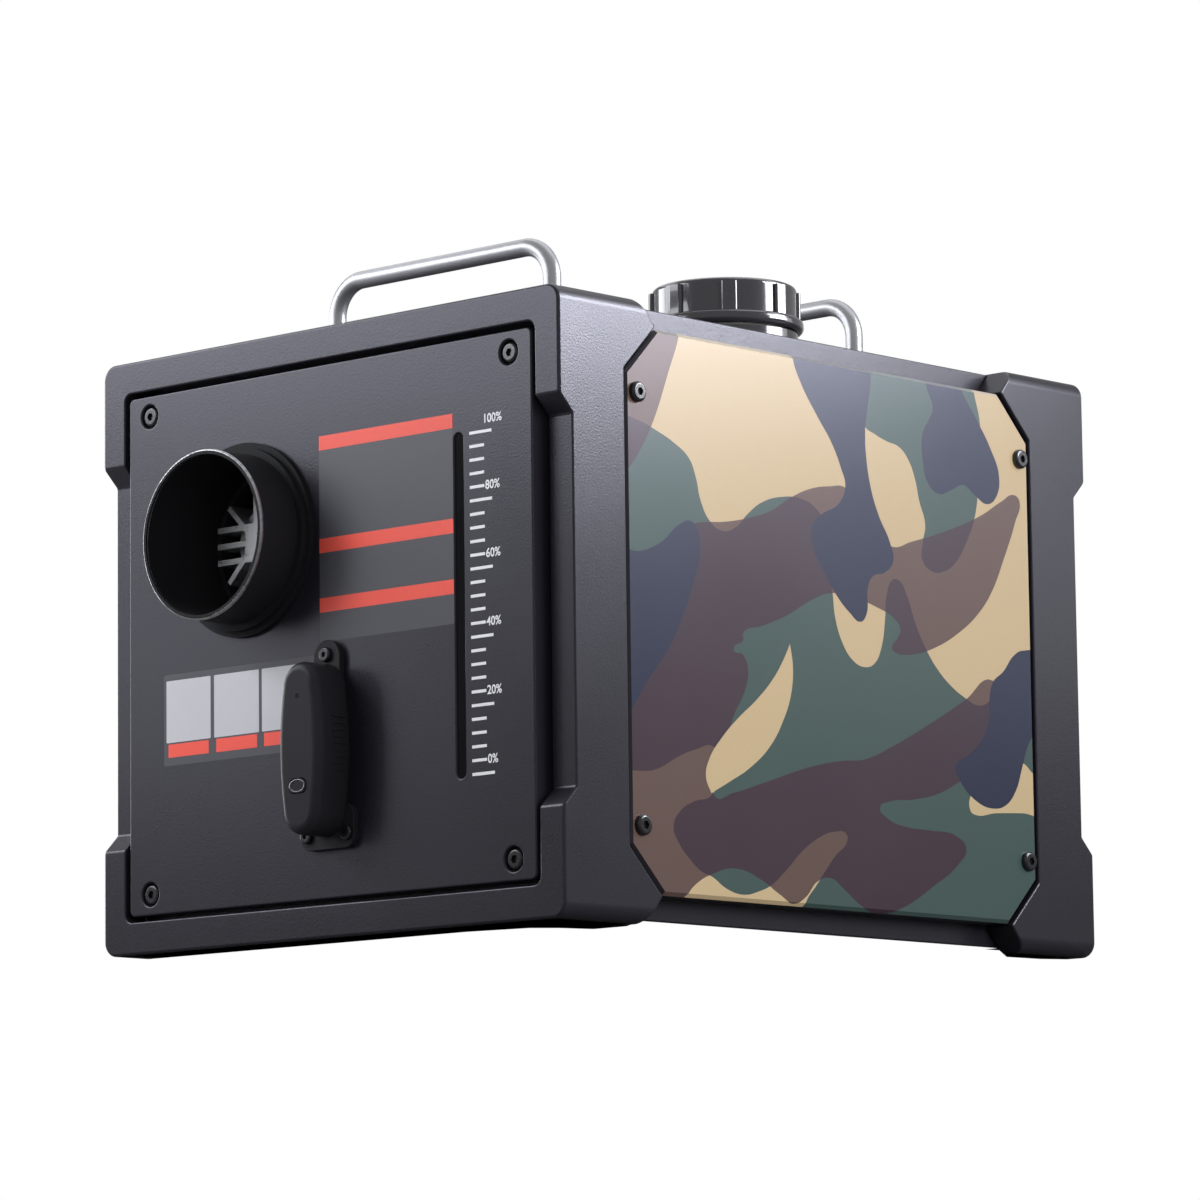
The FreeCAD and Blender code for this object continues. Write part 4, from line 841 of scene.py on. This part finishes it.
class HEATER_OT_roll_outlet_rim(bpy.types.Operator):
    """Roll the bead round the outlet's mouth"""
    bl_idname = "heater.roll_outlet_rim"
    bl_label = "Outlet rim"

    def execute(self, context):
        low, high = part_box("outlet_duct")
        middle = (low + high) / 2
        bm = bead_ring(RIM_RADIUS, RIM_BEAD, sides=14, steps=96)
        place = Matrix.Translation((middle.x, low.y + RIM_BEAD, middle.z)) @ FORWARD
        bmesh.ops.transform(bm, matrix=place, verts=bm.verts)
        add_piece("outlet_rim", bm, "duct_rim")
        return {"FINISHED"}


# Remote and rear controls

RIB_ROWS = 9
RIB_PITCH = 2.9 * MM
RIB_LENGTH = 7.5 * MM
RIB_THICKNESS = 1.3 * MM
RIB_PROUD = 0.55 * MM
RIB_ROUND = 0.4 * MM
RIB_SETBACK = 1.2 * MM
RIB_RISE = 2 * MM
SIDE_BOW = 166.8 * MM
KEY_RADIUS = 2.6 * MM
KEY_BEAD = 0.3 * MM
KEY_STRETCH_SHARES = (1.7, 1, 0.7, 1)

DIGITS_ACROSS = (-22.5 * MM, -10.5 * MM, 10.5 * MM, 22.5 * MM)
DIGIT_WIDTH = 7.2 * MM
DIGIT_HEIGHT = 14.0 * MM
SEGMENT = 1.4 * MM
SEGMENT_CORNER_SHARE = 0.3
COLON = SEGMENT * 1.3
COLON_CORNER = SEGMENT * 0.5
SIGN_RADIUS = 2.5 * MM
SIGN_LINE = 0.6 * MM
POWER_BAR_LENGTH = 2.4 * MM
POWER_BAR_RISE = 2.0 * MM
MODE_BAR_LENGTH = 4.2 * MM
MODE_BAR_PITCH = 1.4 * MM


def flat_ring(bm, place, outer, inner):
    """Adds a flat ring whose middle, size and facing come from a matrix."""
    loops = []
    for radius in (outer, inner):
        made = bmesh.ops.create_circle(bm, segments=40, radius=radius, matrix=place)
        loops.extend({e for v in made["verts"] for e in v.link_edges})
    bmesh.ops.bridge_loops(bm, edges=loops)


class HEATER_OT_detail_remote(bpy.types.Operator):
    """Mould the grip ribs and the rim of the key on the remote"""
    bl_idname = "heater.detail_remote"
    bl_label = "Remote details"

    def execute(self, context):
        low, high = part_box("remote_base")
        middle = (low + high) / 2
        half = (high.x - low.x) / 2
        ribs = bmesh.new()
        for row in range(RIB_ROWS):
            drop = (row - RIB_ROWS // 2) * RIB_PITCH
            reach = half - SIDE_BOW + math.sqrt(SIDE_BOW * SIDE_BOW - drop * drop)
            for side in (-1, 1):
                place = Matrix.Translation((middle.x + side * reach, low.y + RIB_SETBACK,
                                            middle.z + RIB_RISE + drop))
                size = Matrix.Diagonal((2 * RIB_PROUD, RIB_LENGTH, RIB_THICKNESS, 1))
                made = bmesh.ops.create_cube(ribs, size=1.0, matrix=place @ size)
                round_off(ribs, list({e for v in made["verts"] for e in v.link_edges}), RIB_ROUND)
        add_piece("remote_grip_ribs", ribs, "remote_plastic", "remote", sharp=ROUNDED)
        low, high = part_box("remote_button")
        middle = (low + high) / 2
        rim = bead_ring(KEY_RADIUS, KEY_BEAD, sides=10, steps=48)
        place = Matrix.Translation((middle.x, low.y, middle.z)) @ FORWARD
        bmesh.ops.transform(rim, matrix=place @ Matrix.Diagonal(KEY_STRETCH_SHARES), verts=rim.verts)
        add_piece("remote_key_rim", rim, "gloss_black", "remote_key", sharp=ROUNDED)
        return {"FINISHED"}


class HEATER_OT_mark_controls(bpy.types.Operator):
    """Print the unlit segments of the display and the plain signs of its keys"""
    bl_idname = "heater.mark_controls"
    bl_label = "Rear control marks"

    def execute(self, context):
        lift = context.scene.heater_print.lift
        self.print_segments(lift)
        signs = {"power": self.draw_power, "mode": self.draw_bars, "down": self.draw_down, "up": self.draw_up}
        for key, draw in signs.items():
            low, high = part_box(key + "_button")
            middle = (low + high) / 2
            bm = bmesh.new()
            draw(bm, Matrix.Translation((middle.x, high.y + lift, middle.z)) @ BACKWARD)
            bmesh.ops.recalc_face_normals(bm, faces=bm.faces)
            if bm.faces[:][0].normal.y < 0:
                bmesh.ops.reverse_faces(bm, faces=bm.faces)
            add_piece(key + "_sign", bm, "white_ink", key + "_key", smooth=False)
        return {"FINISHED"}

    def print_segments(self, lift):
        low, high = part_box("display_lens")
        middle = (low + high) / 2
        y = high.y + lift
        corner = SEGMENT * SEGMENT_CORNER_SHARE
        upright = DIGIT_HEIGHT / 2 - SEGMENT
        bm = bmesh.new()
        for across in DIGITS_ACROSS:
            x = middle.x + across
            for rise in (-DIGIT_HEIGHT / 2, 0, DIGIT_HEIGHT / 2):
                flat_plate(bm, (x, middle.z + rise), DIGIT_WIDTH - SEGMENT, SEGMENT, y, corner, BACKWARD)
                if rise:
                    for side in (-DIGIT_WIDTH / 2, DIGIT_WIDTH / 2):
                        flat_plate(bm, (x + side, middle.z + rise / 2), SEGMENT, upright, y, corner, BACKWARD)
        for rise in (-DIGIT_HEIGHT / 4, DIGIT_HEIGHT / 4):
            flat_plate(bm, (middle.x, middle.z + rise), COLON, COLON, y, COLON_CORNER, BACKWARD)
        add_piece("display_segments", bm, "unlit_segment", smooth=False)

    def draw_power(self, bm, place):
        flat_ring(bm, place, SIGN_RADIUS, SIGN_RADIUS - SIGN_LINE)
        shift = Matrix.Translation((0, -POWER_BAR_RISE, 0))
        add_plate(bm, place @ shift, SIGN_LINE, POWER_BAR_LENGTH)

    def draw_bars(self, bm, place):
        for row in (-1, 0, 1):
            shift = Matrix.Translation((0, row * MODE_BAR_PITCH, 0))
            add_plate(bm, place @ shift, MODE_BAR_LENGTH, SIGN_LINE)

    def draw_down(self, bm, place):
        bmesh.ops.create_circle(bm, cap_ends=True, segments=3, radius=SIGN_RADIUS, matrix=place)

    def draw_up(self, bm, place):
        self.draw_down(bm, place @ Matrix.Rotation(math.pi, 4, "Z"))


# Stage

# Softboxes: place, target, width and height in metres, watts, and the light they are kept out of.
SOFTBOXES = {
    "side_box": ((0.62, 0.37, 0.5), (0.141, -0.1, 0.25), (0.4, 0.26), 7.2, "diffuse"),
    "rim_box": ((0.41, 0.29, 0.56), (0.141, -0.15, 0.26), (0.3, 0.2), 0.8, "diffuse"),
    "rear_box": ((0.6, 0.75, 0.35), (0.141, 0.15, 0.2), (0.3, 0.3), 0.5, "diffuse"),
    "fill_box": ((1.7, 0.1, 0.35), (0.141, 0.0, 0.1), (0.6, 0.5), 20.0, "glossy"),
    "front_fill": ((0.8, -0.8, 0.35), (0.0, -0.18, 0.15), (0.5, 0.5), 2.4, "glossy"),
    "edge_box": ((-0.37, -0.1, 0.65), (0.0, -0.18, 0.25), (0.55, 0.22), 0.45, "diffuse"),
    "key_box": ((-0.75, -0.85, 0.75), (0.0, -0.18, 0.15), (0.3, 0.3), 7.0, "glossy"),
    "line_box": ((-0.37, -0.44, 0.57), (0.0, -0.18, 0.25), (0.5, 0.1), 0.8, "diffuse"),
    "front_box": ((-0.42, -0.58, 0.45), (0.0, -0.18, 0.24), (0.7, 0.24), 2.5, None),
    "low_box": ((-0.6, -0.66, 0.24), (-0.1, -0.18, 0.14), (0.22, 0.2), 0.27, None),
    "left_box": ((-0.88, -0.22, 0.28), (0.0, -0.2, 0.12), (0.32, 0.5), 3.0, None),
    "top_box": ((0.0, 0.3, 1.3), (0.0, 0.0, 0.27), (1.4, 1.0), 6.0, None),
    "back_box": ((-0.5, 1.05, 0.7), (0.0, 0.18, 0.14), (1.3, 0.9), 8.0, "glossy"),
}
FLOOR_HALF = 3.0
FLOOR_DROP = 0.3 * MM
UNDERLAY_DROP = 0.1 * MM


def camera_matrix(stage):
    az, el, roll = stage.azimuth, stage.elevation, stage.roll
    back = Vector((math.sin(az) * math.cos(el), -math.cos(az) * math.cos(el), math.sin(el)))
    right = (-back).cross(Vector((0, 0, 1))).normalized()
    up = back.cross(right)
    side = right * math.cos(roll) + up * math.sin(roll)
    rise = up * math.cos(roll) - right * math.sin(roll)
    turn = Matrix((side, rise, back)).transposed()
    return Matrix.Translation(Vector(stage.target) + back * stage.distance) @ turn.to_4x4()


def add_softbox(name, place, target, size, power, kept_out):
    light = bpy.data.lights.new(name, "AREA")
    light.color = bpy.context.scene.heater_stage.light
    light.shape = "RECTANGLE"
    light.size, light.size_y = size
    light.energy = power
    box = bpy.data.objects.new(name, light)
    turn = (Vector(place) - Vector(target)).to_track_quat("Z", "Y")
    box.matrix_world = Matrix.Translation(place) @ turn.to_matrix().to_4x4()
    box.visible_camera = False
    box.visible_diffuse = kept_out != "diffuse"
    box.visible_glossy = kept_out != "glossy"
    bpy.context.scene.collection.objects.link(box)


def make_world(scene, stage):
    """White to the camera and in reflections of it, soft grey light otherwise."""
    world = bpy.data.worlds.new("studio")
    world.use_nodes = True
    tree = world.node_tree
    tree.nodes.clear()
    path = tree.nodes.new("ShaderNodeLightPath")
    white = tree.nodes.new("ShaderNodeBackground")
    soft = tree.nodes.new("ShaderNodeBackground")
    for background, strength in ((soft, stage.soft), (white, 1.0)):
        background.inputs["Color"].default_value = (*WHITE, 1)
        background.inputs["Strength"].default_value = strength
    mix = tree.nodes.new("ShaderNodeMixShader")
    output = tree.nodes.new("ShaderNodeOutputWorld")
    seen = path.outputs["Is Camera Ray"]
    for kind, share in (("Is Glossy Ray", stage.mirrored), ("Is Transmission Ray", 1.0)):
        either = tree.nodes.new("ShaderNodeMath")
        either.operation = "MULTIPLY_ADD"
        tree.links.new(path.outputs[kind], either.inputs[0])
        either.inputs[1].default_value = share
        tree.links.new(seen, either.inputs[2])
        seen = either.outputs[0]
    tree.links.new(seen, mix.inputs["Fac"])
    tree.links.new(soft.outputs[0], mix.inputs[1])
    tree.links.new(white.outputs[0], mix.inputs[2])
    tree.links.new(mix.outputs[0], output.inputs["Surface"])
    scene.world = world


def add_stage_sheet(name, bm, finish):
    mesh = bpy.data.meshes.new(name)
    bm.to_mesh(mesh)
    bm.free()
    mesh.materials.append(finish.material)
    sheet = bpy.data.objects.new(name, mesh)
    bpy.context.scene.collection.objects.link(sheet)


def camera_and_below(finish):
    """Whether a camera ray sees the surface, and whether it is seen from below."""
    seen = finish.node("ShaderNodeLightPath").outputs["Is Camera Ray"]
    below = finish.node("ShaderNodeNewGeometry").outputs["Backfacing"]
    return Value(finish, seen), Value(finish, below)


def make_floor(stage):
    """A pale floor that fades into the white, and is clear from below, where the picture is taken from."""
    bm = bmesh.new()
    bmesh.ops.create_grid(bm, x_segments=1, y_segments=1, size=FLOOR_HALF,
                          matrix=Matrix.Translation((0, 0, -FLOOR_DROP)))
    finish = Finish("floor", Roughness=0.8)
    clear = finish.node("ShaderNodeBsdfTransparent")
    seen, below = camera_and_below(finish)
    reach = finish.node("ShaderNodeVectorMath", {"operation": "LENGTH"}, {0: finish.place}).outputs["Value"]
    far = finish.mask(reach, stage.fade_start, stage.fade_end)
    finish.set("Base Color", finish.mix(seen, tuple(stage.bounce), tuple(stage.floor)))
    finish.blend(seen * (below + far * (1 - below)), finish.surface, clear)
    add_stage_sheet("floor", bm, finish)


# Outlines of the white sheets under the heater, as (across, along) in millimetres.

UNDERLAY = [
    (-139, -176), (-139, -159), (63, -157), (94, -150.7), (102, -140.7), (106.6, -126.7), (113, -114.7),
    (116.5, -114.3), (141, -131), (141, 108), (118, 142), (119.8, 164.4), (126.6, 178), (-141, 178),
]
UNDERLAY_TRAY = [(-125.3, -99.4), (102.8, -99.4), (125.3, -115), (125.3, 164), (-125.3, 164)]


def make_underlay():
    """White sheets right under the heater, which only show from below, in place of its shaded underside."""
    finish = Finish("underlay")
    glow = finish.node("ShaderNodeEmission", None, {"Color": WHITE, "Strength": 1.0})
    clear = finish.node("ShaderNodeBsdfTransparent")
    seen, below = camera_and_below(finish)
    finish.blend(seen * below, clear, glow)
    bm = bmesh.new()
    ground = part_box("front_end_cap")[0].z
    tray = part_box("base_tray")[0].z
    for outline, height in ((UNDERLAY, ground), (UNDERLAY_TRAY, tray)):
        bm.faces.new([bm.verts.new((x * MM, y * MM, height - UNDERLAY_DROP)) for x, y in outline])
    add_stage_sheet("underlay", bm, finish)


class HEATER_OT_set_stage(bpy.types.Operator):
    """Set the floor, the light and the camera"""
    bl_idname = "heater.set_stage"
    bl_label = "Stage"

    def execute(self, context):
        scene = context.scene
        stage = scene.heater_stage
        camera = bpy.data.cameras.new("camera")
        camera.lens = stage.lens
        camera.sensor_width = stage.sensor
        camera.clip_start = stage.near
        holder = bpy.data.objects.new("camera", camera)
        holder.matrix_world = camera_matrix(stage)
        scene.collection.objects.link(holder)
        scene.camera = holder
        scene.view_settings.view_transform = "Standard"
        make_world(scene, stage)
        make_floor(stage)
        make_underlay()
        for name, settings in SOFTBOXES.items():
            add_softbox(name, *settings)
        return {"FINISHED"}


class HEATER_PT_looks(bpy.types.Panel):
    """Lists the steps that dress the heater"""
    bl_idname = "HEATER_PT_looks"
    bl_label = "Parking heater"
    bl_space_type = "VIEW_3D"
    bl_region_type = "UI"
    bl_category = "Heater"

    def draw(self, context):
        for step in STEPS:
            self.layout.operator(step.bl_idname)


STEPS = (HEATER_OT_finish_nodes, HEATER_OT_soften_case, HEATER_OT_print_films, HEATER_OT_print_gauge,
         HEATER_OT_lay_decals, HEATER_OT_roll_outlet_rim, HEATER_OT_detail_remote, HEATER_OT_mark_controls,
         HEATER_OT_set_stage)
GROUPS = {"heater_finishes": HeaterFinishes, "heater_film": HeaterFilm, "heater_print": HeaterPrint,
          "heater_stage": HeaterStage}


def register():
    for group in GROUPS.values():
        bpy.utils.register_class(group)
    for name, group in GROUPS.items():
        setattr(bpy.types.Scene, name, PointerProperty(type=group))
    for step in (*STEPS, HEATER_PT_looks):
        bpy.utils.register_class(step)


def unregister():
    for step in reversed((*STEPS, HEATER_PT_looks)):
        bpy.utils.unregister_class(step)
    for name in GROUPS:
        delattr(bpy.types.Scene, name)
    for group in reversed(GROUPS.values()):
        bpy.utils.unregister_class(group)


def main():
    register()
    for step in STEPS:
        area, name = step.bl_idname.split(".")
        getattr(getattr(bpy.ops, area), name)()


if __name__ == "__main__":
    main()
